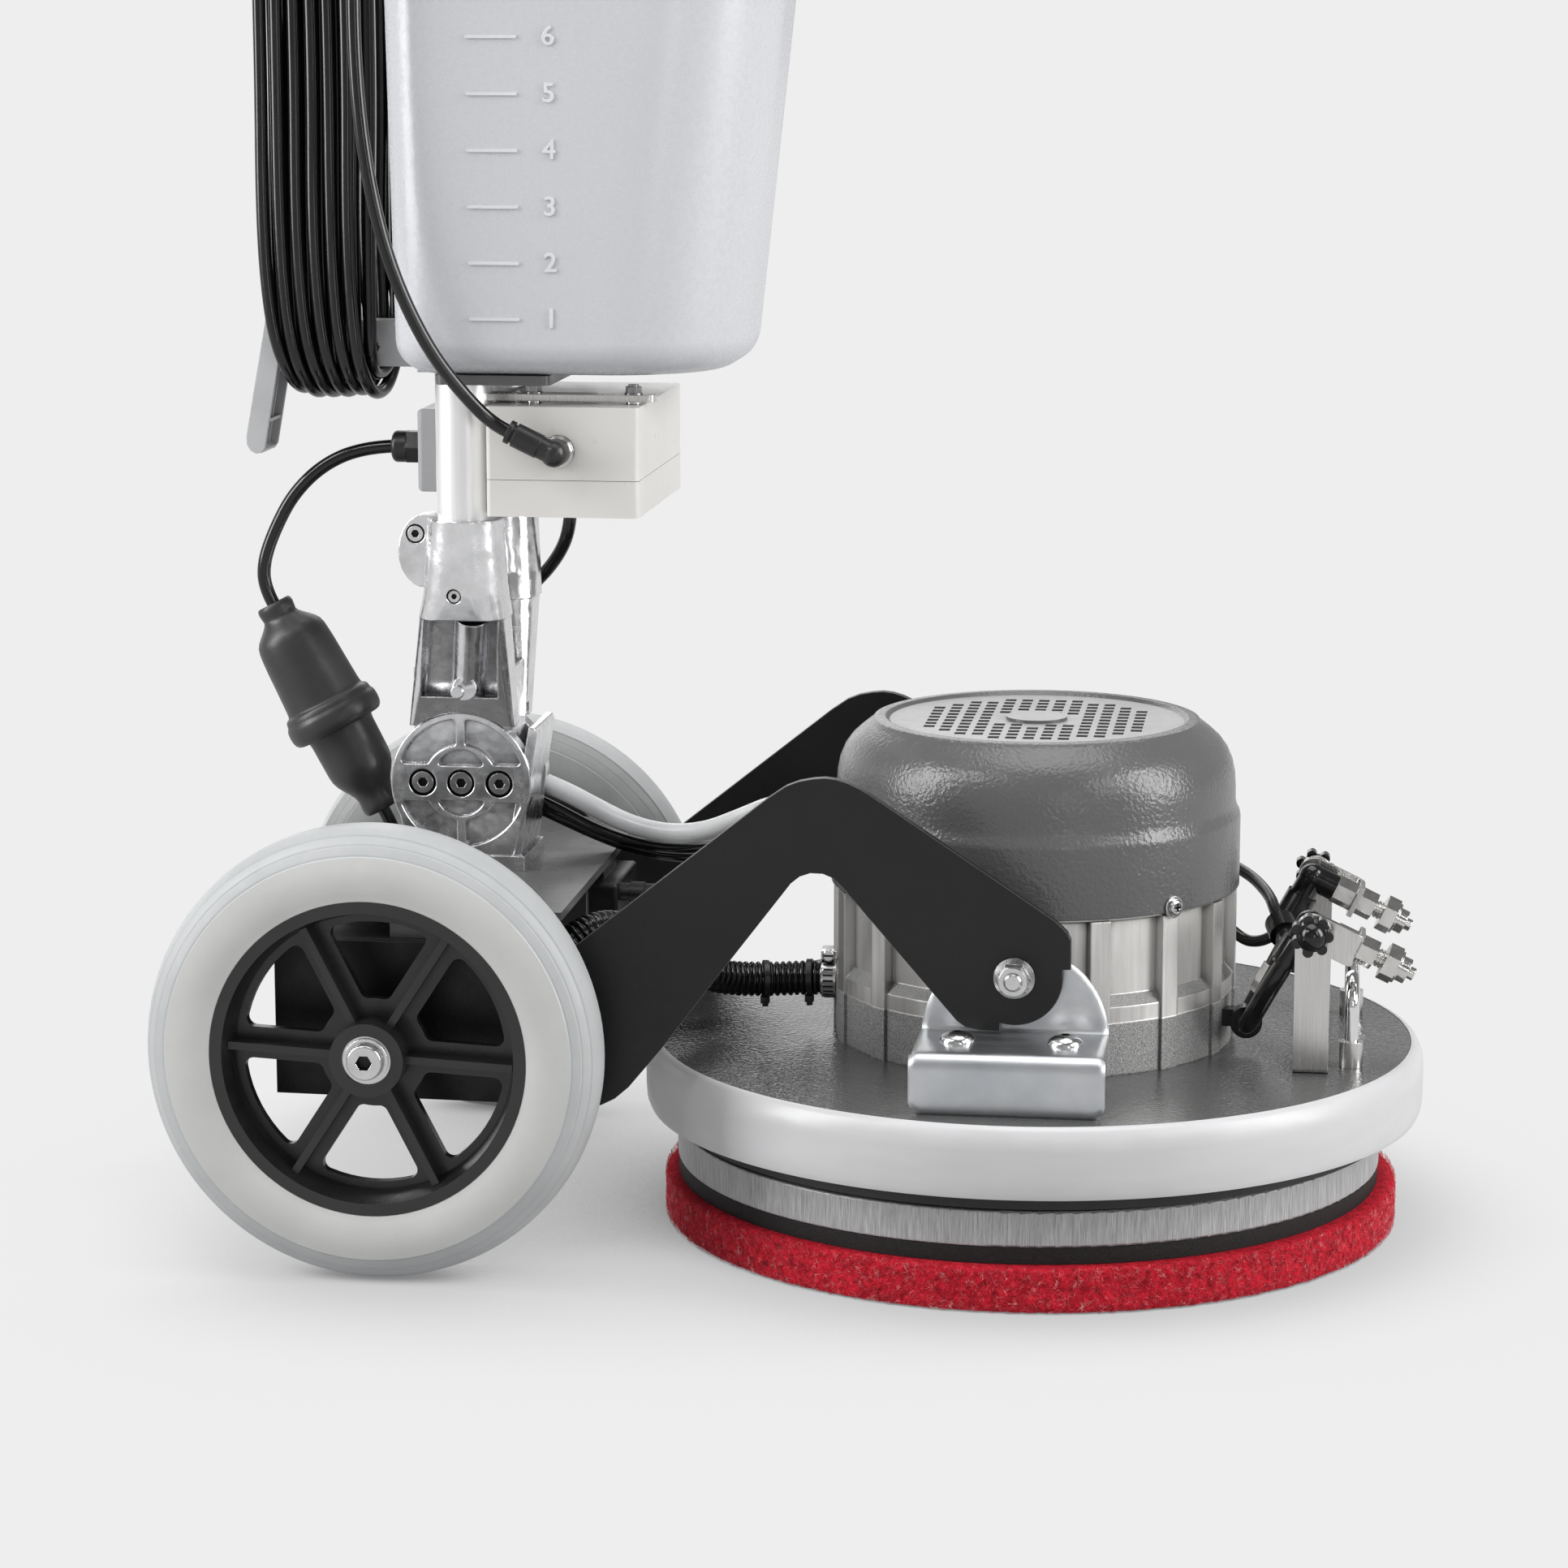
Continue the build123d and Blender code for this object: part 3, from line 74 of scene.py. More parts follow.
# ------------------------------------------------------------------ materials
class Look:
    """One principled material with texture nodes in object space, in metres."""

    def __init__(self, name, color, rough, metal=0.0, **more):
        self.m = bpy.data.materials.new(name)
        self.m.use_nodes = True
        self.t = self.m.node_tree
        self.t.nodes.clear()
        self.out = self.node("OutputMaterial")
        self.b = self.node("BsdfPrincipled")
        self.link(self.b.outputs["BSDF"], self.out.inputs["Surface"])
        self.b.inputs["Base Color"].default_value = (*color, 1.0)
        self.b.inputs["Roughness"].default_value = rough
        self.b.inputs["Metallic"].default_value = metal
        for k, v in more.items():
            self.b.inputs[k.replace("_", " ")].default_value = v
        self.color0 = color
        self.tc = self.node("TexCoord")
        self.n = None
        self.m.diffuse_color = (*color, 1.0)

    def node(self, kind, **props):
        nd = self.t.nodes.new("ShaderNode" + kind)
        for k, v in props.items():
            setattr(nd, k, v)
        return nd

    def link(self, a, b):
        self.t.links.new(a, b)

    def coords(self, stretch=(1, 1, 1), rot=(0, 0, 0)):
        mp = self.node("Mapping")
        mp.inputs["Scale"].default_value = stretch
        mp.inputs["Rotation"].default_value = rot
        self.link(self.tc.outputs["Object"], mp.inputs["Vector"])
        return mp.outputs["Vector"]

    def noise(self, scale, detail=3.0, rough=0.55, stretch=(1, 1, 1), warp=0.0, rot=(0, 0, 0)):
        nd = self.node("TexNoise")
        nd.inputs["Scale"].default_value = scale
        nd.inputs["Detail"].default_value = detail
        nd.inputs["Roughness"].default_value = rough
        nd.inputs["Distortion"].default_value = warp
        self.link(self.coords(stretch, rot), nd.inputs["Vector"])
        return nd.outputs["Fac"]

    def cells(self, scale, feature="F1", stretch=(1, 1, 1)):
        nd = self.node("TexVoronoi", feature=feature)
        nd.inputs["Scale"].default_value = scale
        self.link(self.coords(stretch), nd.inputs["Vector"])
        return nd.outputs["Distance"]

    def axis(self, which):
        sp = self.node("SeparateXYZ")
        self.link(self.tc.outputs["Object"], sp.inputs["Vector"])
        return sp.outputs[which]

    def span(self, fac, a, b, c=0.0, d=1.0, smooth=True):
        nd = self.node("MapRange")
        nd.interpolation_type = "SMOOTHSTEP" if smooth else "LINEAR"
        self.link(fac, nd.inputs["Value"])
        for k, v in (("From Min", a), ("From Max", b), ("To Min", c), ("To Max", d)):
            nd.inputs[k].default_value = v
        return nd.outputs["Result"]

    def math(self, op, a, b):
        nd = self.node("Math", operation=op)
        for i, x in enumerate((a, b)):
            if isinstance(x, (int, float)):
                nd.inputs[i].default_value = x
            else:
                self.link(x, nd.inputs[i])
        return nd.outputs[0]

    def ramp(self, fac, stops):
        nd = self.node("ValToRGB")
        el = nd.color_ramp.elements
        while len(el) < len(stops):
            el.new(0.5)
        for e, (p, c) in zip(el, stops):
            e.position = p
            e.color = (*c, 1.0)
        self.link(fac, nd.inputs["Fac"])
        return nd.outputs["Color"]

    def mix(self, fac, a, b):
        nd = self.node("Mix", data_type="RGBA")
        self.link(fac, nd.inputs[0])
        for i, x in ((6, a), (7, b)):
            if isinstance(x, tuple):
                nd.inputs[i].default_value = (*x, 1.0)
            else:
                self.link(x, nd.inputs[i])
        return nd.outputs[2]

    def tint(self, fac, low, high, lo=0.3, hi=0.7):
        """Base colour between two tints by a texture."""
        c = self.ramp(fac, [(lo, low), (hi, high)])
        self.link(c, self.b.inputs["Base Color"])
        return c

    def color(self, c):
        self.link(c, self.b.inputs["Base Color"])

    def rough(self, fac, lo, hi, a=0.3, b=0.7):
        self.link(self.span(fac, a, b, lo, hi, False), self.b.inputs["Roughness"])

    def bevel(self, radius, samples=4):
        nd = self.node("Bevel", samples=samples)
        nd.inputs["Radius"].default_value = radius
        if self.n is not None:
            self.link(self.n, nd.inputs["Normal"])
        self.n = nd.outputs["Normal"]
        self.link(self.n, self.b.inputs["Normal"])
        return nd.outputs["Normal"]

    def bump(self, height, dist, strength=1.0):
        nd = self.node("Bump")
        nd.inputs["Strength"].default_value = strength
        nd.inputs["Distance"].default_value = dist
        self.link(height, nd.inputs["Height"])
        if self.n is not None:
            self.link(self.n, nd.inputs["Normal"])
        self.n = nd.outputs["Normal"]
        self.link(self.n, self.b.inputs["Normal"])

    def crevice(self, distance, lo=0.35, hi=0.9):
        """Mask for painted shade: 1 deep inside pockets and joints, 0 on open faces."""
        nd = self.node("AmbientOcclusion", samples=6, only_local=True)
        nd.inputs["Distance"].default_value = distance
        return self.span(nd.outputs["AO"], lo, hi, 1.0, 0.0)

    def edge(self, radius, samples=6):
        """Mask for a painted edge highlight: about 1 on edges sharper than the radius, 0 on open faces."""
        nd = self.node("Bevel", samples=samples)
        nd.inputs["Radius"].default_value = radius
        geo = self.node("NewGeometry")
        dp = self.node("VectorMath", operation="DOT_PRODUCT")
        self.link(nd.outputs["Normal"], dp.inputs[0])
        self.link(geo.outputs["Normal"], dp.inputs[1])
        return self.span(dp.outputs["Value"], 0.995, 0.9, 0.0, 1.0)


def grey(v, r=1.0, g=1.0, b=1.0):
    """Linear colour from an sRGB level of 0 to 255."""
    s = v / 255.0
    lin = s / 12.92 if s <= 0.04045 else ((s + 0.055) / 1.055) ** 2.4
    return (lin * r, lin * g, lin * b)


def make_looks():
    L = {}

    # dark grey gloss paint with orange peel
    k = Look("deck_paint", grey(74), 0.16, 0.0, Specular_IOR_Level=0.5)
    k.tint(k.noise(9, 2), grey(71), grey(78))
    k.rough(k.noise(60, 2), 0.12, 0.20)
    k.bevel(0.0009)
    k.bump(k.noise(430, 1.5, 0.5), 0.00042, 1.0)
    k.bump(k.noise(1300, 1.0, 0.5), 0.00008, 1.0)
    L["deck_paint"] = k.m

    # the same paint on the fan cover, painted a little lighter: painted light
    k = Look("cover_paint", grey(86), 0.22, 0.0, Specular_IOR_Level=0.5)
    k.tint(k.noise(9, 2), grey(83), grey(90))
    k.rough(k.noise(60, 2), 0.18, 0.27)
    k.bevel(0.0012)
    k.bump(k.noise(430, 1.5, 0.5), 0.00046, 1.0)
    k.bump(k.noise(1300, 1.0, 0.5), 0.00008, 1.0)
    L["cover_paint"] = k.m

    # the cover paint on the grille's flat top, painted lighter: painted reflection of the lights above
    k = Look("grille_paint", grey(150), 0.34, 0.0, Specular_IOR_Level=0.5)
    k.tint(k.noise(30, 2), grey(145), grey(156))
    k.rough(k.noise(120, 2), 0.28, 0.40)
    k.bevel(0.0008)
    k.bump(k.noise(620, 1.5, 0.5), 0.00022, 1.0)
    L["grille_paint"] = k.m

    # deck plate's skirt, painted black: painted shade under the bumper
    k = Look("skirt_black", grey(23), 0.55)
    k.tint(k.noise(80, 3), grey(19), grey(28))
    k.bump(k.noise(900, 2), 0.0002)
    L["skirt_black"] = k.m

    # soft vinyl bumper, slightly cloudy
    k = Look("bumper_grey", grey(188), 0.34, 0.0, Specular_IOR_Level=0.5)
    k.tint(k.noise(14, 3, 0.5, (1, 1, 5)), grey(185, 1, 1, 1.015), grey(192, 1, 1, 1.015))
    k.rough(k.noise(30, 3), 0.29, 0.40)
    k.bump(k.noise(35, 2, 0.5, (1, 1, 0.4)), 0.0004, 0.5)
    k.bump(k.noise(2200, 1), 0.00002)
    L["bumper_grey"] = k.m

    # cast aluminium, sand-cast grain low down and drawn panels above
    k = Look("cast_aluminium", grey(176, 1.0, 0.985, 0.965), 0.42, 1.0)
    z = k.axis(2)
    low = k.span(z, 0.1378, 0.1392, 1.0, 0.0)
    streak = k.noise(150, 4, 0.6, (1, 1, 0.05))
    blot = k.noise(38, 4, 0.62, (1, 1, 0.35))
    panel = k.mix(k.span(streak, 0.25, 0.75), grey(196, 1.0, 0.985, 0.96), grey(228, 1.0, 0.99, 0.97))
    panel = k.mix(k.span(blot, 0.42, 0.68), panel, grey(208, 1.0, 0.98, 0.95))
    grain = k.noise(1200, 4, 0.75)
    cast = k.mix(k.span(grain, 0.32, 0.68), grey(124, 1.0, 1.0, 0.99), grey(196, 1.0, 0.99, 0.98))
    # inner corners and joints painted darker by occlusion: painted shade
    k.color(k.mix(k.crevice(0.007, 0.25, 0.85), k.mix(low, panel, cast), grey(70, 1.0, 0.98, 0.95)))
    k.link(k.math("ADD", k.span(blot, 0.3, 0.7, 0.36, 0.46, False), k.math("MULTIPLY", low, 0.20)), k.b.inputs["Roughness"])
    k.bevel(0.0016, 6)
    k.bump(k.math("MULTIPLY", grain, low), 0.0005, 1.0)
    k.bump(k.noise(420, 3, 0.65), 0.00008, 0.7)
    L["cast_aluminium"] = k.m

    # as cast, matt
    k = Look("cast_matt", grey(150, 1.0, 0.99, 0.98), 0.62, 1.0)
    k.tint(k.noise(1200, 3, 0.7), grey(120, 1.0, 0.99, 0.98), grey(168, 1.0, 0.99, 0.98))
    k.bump(k.noise(1400, 3, 0.7), 0.0003, 1.0)
    L["cast_matt"] = k.m

    # tumbled and polished die casting
    k = Look("polished_casting", grey(222, 1.0, 1.0, 1.02), 0.15, 1.0)
    base = k.ramp(k.noise(50, 4, 0.6), [(0.3, grey(216, 1, 1, 1.015)), (0.7, grey(240, 1, 1, 1.02))])
    # pockets and recesses painted darker by occlusion: painted shade
    k.color(k.mix(k.crevice(0.008, 0.2, 0.8), base, grey(128, 1, 1, 1.03)))
    k.rough(k.noise(120, 4, 0.65), 0.14, 0.32)
    k.bevel(0.0013, 6)
    k.bump(k.noise(48, 2, 0.5), 0.0012, 0.6)
    k.bump(k.noise(700, 3, 0.7), 0.00003, 0.7)
    L["polished_casting"] = k.m

    # satin anodised tube, drawn lengthwise
    k = Look("tube_aluminium", grey(240), 0.33, 0.7)
    k.tint(k.noise(420, 3, 0.6, (1, 1, 0.01)), grey(235), grey(245))
    k.rough(k.noise(700, 3, 0.6, (1, 1, 0.015)), 0.30, 0.37)
    k.bevel(0.0006)
    k.bump(k.noise(1500, 2, 0.6, (1, 1, 0.01)), 0.00001, 0.6)
    L["tube_aluminium"] = k.m

    # satin black powder coat on plate, edges painted light grey: painted highlight
    k = Look("black_steel", grey(15), 0.40, 0.0, Specular_IOR_Level=0.40)
    e = k.edge(0.0006)
    base = k.ramp(k.noise(24, 3), [(0.3, grey(13)), (0.7, grey(18))])
    # edges painted light grey: painted highlight
    k.color(k.mix(e, base, grey(110)))
    k.rough(k.noise(90, 3), 0.36, 0.46)
    k.bevel(0.0010)
    k.bump(k.noise(1100, 2, 0.6), 0.00007, 1.0)
    L["black_steel"] = k.m

    # zinc plated sheet, bluish, rolled lengthwise
    k = Look("zinc_sheet", grey(204, 0.97, 0.995, 1.03), 0.22, 1.0)
    cloud = k.noise(22, 4, 0.6)
    k.tint(cloud, grey(192, 0.955, 0.995, 1.045), grey(214, 0.985, 1.0, 1.02))
    k.rough(k.noise(120, 4, 0.65, (0.12, 1, 1)), 0.28, 0.38)
    k.bevel(0.0060, 8)
    k.bump(k.noise(600, 3, 0.6, (0.05, 1, 1)), 0.00003, 0.7)
    k.bump(k.noise(16, 1.5), 0.0008, 0.3)
    L["zinc_sheet"] = k.m

    k = Look("steel_screws", grey(214), 0.20, 1.0)
    base = k.ramp(k.noise(120, 2), [(0.3, grey(206, 1, 1, 0.99)), (0.7, grey(221))])
    # recesses and joints painted darker by occlusion: painted shade
    k.color(k.mix(k.crevice(0.0028, 0.35, 0.85), base, grey(52)))
    k.rough(k.noise(240, 2), 0.16, 0.24)
    k.bevel(0.0006)
    k.bump(k.noise(1600, 2), 0.00001)
    L["steel_screws"] = k.m

    # dark steel; on the pivot nut's chamfer and cone it also stands for painted shade
    k = Look("dark_screws", grey(150), 0.30, 1.0)
    k.tint(k.noise(200, 2), grey(140), grey(160))
    k.rough(k.noise(400, 2), 0.26, 0.36)
    k.bevel(0.0005)
    L["dark_screws"] = k.m

    # nut flanks, painted darker than the faces: painted shade by facing
    k = Look("nut_dark", grey(84), 0.34, 1.0)
    k.tint(k.noise(200, 2), grey(76), grey(92))
    k.rough(k.noise(400, 2), 0.28, 0.40)
    L["nut_dark"] = k.m

    # brushed stainless, brushing lengthwise on the upright posts
    k = Look("stainless", grey(212, 1.0, 0.985, 0.965), 0.27, 1.0)
    k.tint(k.noise(1600, 2, 0.5, (1, 1, 0.012)), grey(204, 1, 0.98, 0.955), grey(219, 1, 0.99, 0.97))
    k.rough(k.noise(1900, 2, 0.5, (1, 1, 0.012)), 0.23, 0.31)
    k.bevel(0.0006)
    k.bump(k.noise(3000, 2, 0.5, (1, 1, 0.012)), 0.00001, 0.8)
    L["stainless"] = k.m

    k = Look("nickel", grey(218, 1.0, 0.985, 0.96), 0.16, 1.0)
    k.tint(k.noise(110, 2), grey(211, 1, 0.98, 0.95), grey(224, 1, 0.99, 0.97))
    k.rough(k.noise(220, 2), 0.12, 0.20)
    k.bevel(0.0006)
    k.bump(k.noise(1200, 2), 0.00001)
    L["nickel"] = k.m

    k = Look("chrome", grey(238), 0.06, 1.0)
    k.rough(k.noise(200, 3, 0.6), 0.04, 0.09)
    k.tint(k.noise(60, 2), grey(232), grey(242))
    k.bevel(0.0005)
    L["chrome"] = k.m

    # light grey non-marking rubber, a little mottled, moulded rings
    k = Look("tyre_grey", grey(186, 1.0, 1.0, 0.985), 0.42, 0.0, Specular_IOR_Level=0.45)
    k.tint(k.noise(22, 4, 0.6), grey(182, 1, 1, 0.975), grey(190, 1, 1, 0.99))
    k.rough(k.noise(60, 4), 0.37, 0.48)
    k.bump(k.noise(120, 3, 0.6), 0.00014, 0.5)
    k.bump(k.noise(1600, 2), 0.00003)
    L["tyre_grey"] = k.m

    # tread and shoulder: the same rubber, cooler and a little darker
    k = Look("tyre_tread", grey(172, 0.98, 1.0, 1.01), 0.44, 0.0, Specular_IOR_Level=0.45)
    k.tint(k.noise(22, 4, 0.6), grey(167, 0.97, 1, 1.01), grey(177, 0.98, 1, 1.01))
    k.rough(k.noise(60, 4), 0.39, 0.50)
    k.bump(k.noise(140, 3, 0.6), 0.00014, 0.5)
    L["tyre_tread"] = k.m

    # the same rubber on the inner side walls, painted darker: painted shade where the machine shades them
    k = Look("tyre_inner", grey(140, 0.99, 1.0, 1.0), 0.5, 0.0, Specular_IOR_Level=0.4)
    k.tint(k.noise(26, 4, 0.6), grey(130, 0.98, 1, 1), grey(148, 0.99, 1, 1))
    k.rough(k.noise(60, 4), 0.44, 0.58)
    k.bump(k.noise(160, 3, 0.6), 0.00014, 0.5)
    L["tyre_inner"] = k.m

    k = Look("rim_black", grey(27), 0.26, 0.0, Specular_IOR_Level=0.6)
    k.tint(k.noise(45, 3), grey(24), grey(30))
    k.rough(k.noise(120, 4, 0.65), 0.25, 0.36)
    k.bump(k.noise(160, 2, 0.5), 0.00010, 0.5)
    L["rim_black"] = k.m

    k = Look("black_gloss", grey(14), 0.16, 0.0)
    k.tint(k.noise(60, 3), grey(12), grey(17))
    k.rough(k.noise(180, 4, 0.65), 0.12, 0.22)
    k.bump(k.noise(90, 2), 0.00012, 0.4)
    L["black_gloss"] = k.m

    k = Look("black_plastic", grey(27), 0.34, 0.0)
    k.tint(k.noise(50, 3), grey(24), grey(32))
    k.rough(k.noise(200, 4), 0.29, 0.41)
    k.bevel(0.0009)
    k.bump(k.noise(1300, 2), 0.00004)
    L["black_plastic"] = k.m

    k = Look("black_rubber", grey(44), 0.40, 0.0, Specular_IOR_Level=0.5)
    k.tint(k.noise(40, 4), grey(41), grey(48))
    k.rough(k.noise(120, 4), 0.36, 0.46)
    k.bump(k.noise(60, 3), 0.00025, 0.4)
    k.bump(k.noise(700, 3), 0.00005)
    L["black_rubber"] = k.m

    k = Look("beige_plastic", grey(207, 1.0, 0.98, 0.95), 0.30, 0.0)
    k.tint(k.noise(12, 3), grey(204, 1, 0.975, 0.94), grey(210, 1, 0.985, 0.955))
    k.rough(k.noise(90, 4), 0.27, 0.36)
    k.bump(k.noise(60, 2), 0.0001, 0.3)
    L["beige_plastic"] = k.m

    k = Look("grey_plastic", grey(150, 1, 1, 1.02), 0.34, 0.0)
    k.tint(k.noise(30, 3), grey(146, 1, 1, 1.02), grey(155, 1, 1, 1.03))
    k.rough(k.noise(120, 4), 0.28, 0.41)
    k.bevel(0.0008)
    k.bump(k.noise(1200, 2), 0.00004)
    L["grey_plastic"] = k.m

    k = Look("hook_grey", grey(176, 0.99, 1, 1.025), 0.34, 0.0)
    k.tint(k.noise(30, 3), grey(171, 0.99, 1, 1.025), grey(181, 0.99, 1, 1.025))
    k.rough(k.noise(120, 4), 0.28, 0.41)
    k.bevel(0.0008)
    k.bump(k.noise(1200, 2), 0.00004)
    L["hook_grey"] = k.m

    k = Look("light_plastic", grey(222), 0.38, 0.0)
    k.tint(k.noise(30, 3), grey(217), grey(226))
    k.rough(k.noise(120, 4), 0.32, 0.46)
    k.bevel(0.0008)
    k.bump(k.noise(1200, 2), 0.00005)
    L["light_plastic"] = k.m

    # driver disc rim: pale, fine upright brushing
    k = Look("driver_grey", grey(164), 0.42, 0.35)
    hair = k.noise(1100, 3, 0.7, (1, 1, 0.05))
    k.tint(hair, grey(134, 1, 1, 1.01), grey(190, 1, 1, 1.01), 0.3, 0.72)
    k.rough(k.noise(500, 3, 0.6, (1, 1, 0.08)), 0.34, 0.52)
    k.bump(hair, 0.00020, 0.8)
    L["driver_grey"] = k.m

    k = Look("holder_black", grey(20, 1.05, 0.97, 0.98), 0.62, 0.0, Specular_IOR_Level=0.3)
    k.tint(k.noise(500, 3, 0.7), grey(13), grey(30, 1.08, 0.95, 0.97))
    k.bump(k.noise(900, 3, 0.7), 0.0006)
    L["holder_black"] = k.m

    # nonwoven fibre pad
    k = Look("pad_red", (0.42, 0.013, 0.028), 0.70, 0.0, Specular_IOR_Level=0.15, Sheen_Weight=0.04, Sheen_Roughness=0.5, Sheen_Tint=(1.0, 0.35, 0.4, 1.0))
    n1 = k.noise(330, 4, 0.72)
    k.color(k.ramp(n1, [(0.30, (0.20, 0.004, 0.011)), (0.45, (0.56, 0.008, 0.024)), (0.60, (0.74, 0.014, 0.036)), (0.74, (0.88, 0.12, 0.14))]))
    k.bump(k.noise(420, 4, 0.75), 0.0020)
    k.bump(k.noise(1400, 2, 0.6), 0.0006)
    L["pad_red"] = k.m

    k = Look("pad_fibre", (0.55, 0.03, 0.045), 0.42, 0.0)
    k.color(k.ramp(k.noise(240, 2, 0.6), [(0.30, (0.25, 0.008, 0.02)), (0.48, (0.56, 0.022, 0.046)), (0.60, (0.70, 0.12, 0.14)), (0.72, (0.86, 0.50, 0.50))]))
    L["pad_fibre"] = k.m

    # natural polyethylene tank, satin, faintly see-through
    k = Look("tank_plastic", grey(190, 0.975, 0.99, 1.03), 0.27, 0.0, Subsurface_Weight=0.08, Subsurface_Radius=(0.010, 0.010, 0.012),
             Subsurface_Scale=1.0, Specular_IOR_Level=0.6)
    k.tint(k.noise(5, 2), grey(188, 0.97, 0.99, 1.035), grey(192, 0.975, 0.99, 1.03))
    k.rough(k.noise(240, 3, 0.6), 0.24, 0.31)
    k.bump(k.noise(420, 2, 0.5), 0.00003, 0.6)
    L["tank_plastic"] = k.m

    # moulded marks of the same plastic, painted paler: painted highlight on the raised marks
    k = Look("tank_mark", grey(208, 0.98, 0.99, 1.025), 0.30, 0.0, Specular_IOR_Level=0.5)
    k.tint(k.noise(40, 2), grey(204, 0.98, 0.99, 1.025), grey(212, 0.98, 0.99, 1.025))
    k.rough(k.noise(240, 2), 0.26, 0.36)
    L["tank_mark"] = k.m

    # dark satin sheet: mounting plate and tank saddle, painted mid grey; on the black mounting plate this grey is a
    # painted reflection of the bright room
    k = Look("dark_sheet", grey(84), 0.30, 0.0, Specular_IOR_Level=0.5)
    k.tint(k.noise(26, 3), grey(80), grey(89))
    k.rough(k.noise(90, 3), 0.26, 0.36)
    k.bump(k.noise(60, 2), 0.0001, 0.3)
    L["dark_sheet"] = k.m

    k = Look("iron_core", grey(90), 0.45, 1.0)
    k.tint(k.noise(300, 3), grey(76), grey(104))
    k.bump(k.noise(700, 2, 0.6, (1, 1, 6)), 0.0002)
    L["iron_core"] = k.m

    k = Look("fan_plastic", grey(44), 0.5, 0.0)
    k.tint(k.noise(60, 3), grey(36), grey(52))
    k.bump(k.noise(900, 2), 0.00008)
    L["fan_plastic"] = k.m

    k = Look("trigger_red", (0.42, 0.02, 0.02), 0.32, 0.0)
    k.tint(k.noise(60, 3), (0.38, 0.017, 0.017), (0.46, 0.024, 0.022))
    k.rough(k.noise(200, 4), 0.26, 0.40)
    k.bevel(0.0009)
    k.bump(k.noise(1200, 2), 0.00005)
    L["trigger_red"] = k.m

    # flexible PVC: mains cord and lead
    k = Look("cord_black", grey(13), 0.18, 0.0)
    k.tint(k.noise(40, 3), grey(11), grey(16))
    k.rough(k.noise(150, 4), 0.13, 0.23)
    k.bump(k.noise(60, 2), 0.0002, 0.4)
    L["cord_black"] = k.m

    # pale translucent hose
    k = Look("hose_grey", grey(218, 0.99, 1.0, 1.01), 0.24, 0.0)
    k.tint(k.noise(40, 3), grey(213, 0.99, 1.0, 1.01), grey(223, 0.99, 1.0, 1.01))
    k.rough(k.noise(150, 4), 0.19, 0.30)
    L["hose_grey"] = k.m

    k = Look("brass", (0.72, 0.52, 0.24), 0.26, 1.0)
    k.tint(k.noise(200, 3), (0.62, 0.44, 0.20), (0.78, 0.58, 0.30))
    k.bevel(0.0004)
    L["brass"] = k.m

    # sockets, counterbores, gaps and slots painted near black: painted shade
    k = Look("socket_dark", grey(26), 0.45, 0.3)
    k.tint(k.noise(300, 3), grey(20), grey(33))
    L["socket_dark"] = k.m
    return L


LOOKS = make_looks()
SLOT = {s["node"]: s["material_slot"] for s in frame["record"]["subparts"]}


# ------------------------------------------------------------------ CAD nodes: finish by region
def coat(name, look, *regions):
    """Main look for a CAD node, and other looks where a test on face centres (mm) and normals says so."""
    o = NODES[name]
    me = o.data
    me.materials.clear()
    me.materials.append(LOOKS[look])
    n = len(me.polygons)
    idx = np.zeros(n, np.int32)
    if regions:
        c = np.zeros(n * 3)
        me.polygons.foreach_get("center", c)
        nn = np.zeros(n * 3)
        me.polygons.foreach_get("normal", nn)
        c, nn = c.reshape(-1, 3) * 1000.0, nn.reshape(-1, 3)
        for i, (other, test) in enumerate(regions):
            me.materials.append(LOOKS[other])
            idx[test(c, nn)] = i + 1
    me.polygons.foreach_set("material_index", idx)
    me.update()


def near_line(c, p, d, r, s0, s1):
    """Faces within r of the line p + s d, with s between s0 and s1."""
    p, d = np.array(p, float), np.array(d, float)
    d = d / np.linalg.norm(d)
    v = c - p
    s = v @ d
    return (np.linalg.norm(v - s[:, None] * d, axis=1) < r) & (s > s0) & (s < s1)


for nm in NODES:
    coat(nm, SLOT[nm] if SLOT[nm] in LOOKS else "black_plastic")

# skirt below the bumper painted black: painted shade
coat("deck_plate", "deck_paint", ("skirt_black", lambda c, n: (c[:, 2] < 102.9)))
# grille's flat top in a lighter look: painted reflection
coat("fan_cover", "cover_paint", ("grille_paint", lambda c, n: (c[:, 2] > 294.8) & (n[:, 2] > 0.9) & (np.hypot(c[:, 0], c[:, 1]) < 86.5)))
coat("driver_disc", "driver_grey")
coat("motor_housing", "cast_aluminium", ("cast_matt", lambda c, n: (c[:, 2] > 147.6) & (c[:, 2] < 154.4) & (n[:, 2] > 0.3)))
# black mounting plate painted mid grey: painted reflection
coat("mounting_plate", "dark_sheet")
coat("tank_saddle", "dark_sheet")
coat("cord_hooks", "hook_grey")
for nm in ("tyre_near", "tyre_far"):
    coat(nm, "tyre_grey", ("tyre_tread", lambda c, n: np.hypot(c[:, 0] + 356.0, c[:, 2] - 130.0) > 115.2),
         # inner side walls painted darker: painted shade
         ("tyre_inner", lambda c, n: (np.abs(c[:, 1]) < 187.0 - 14.0)))
coat("pad_holder", "holder_black")


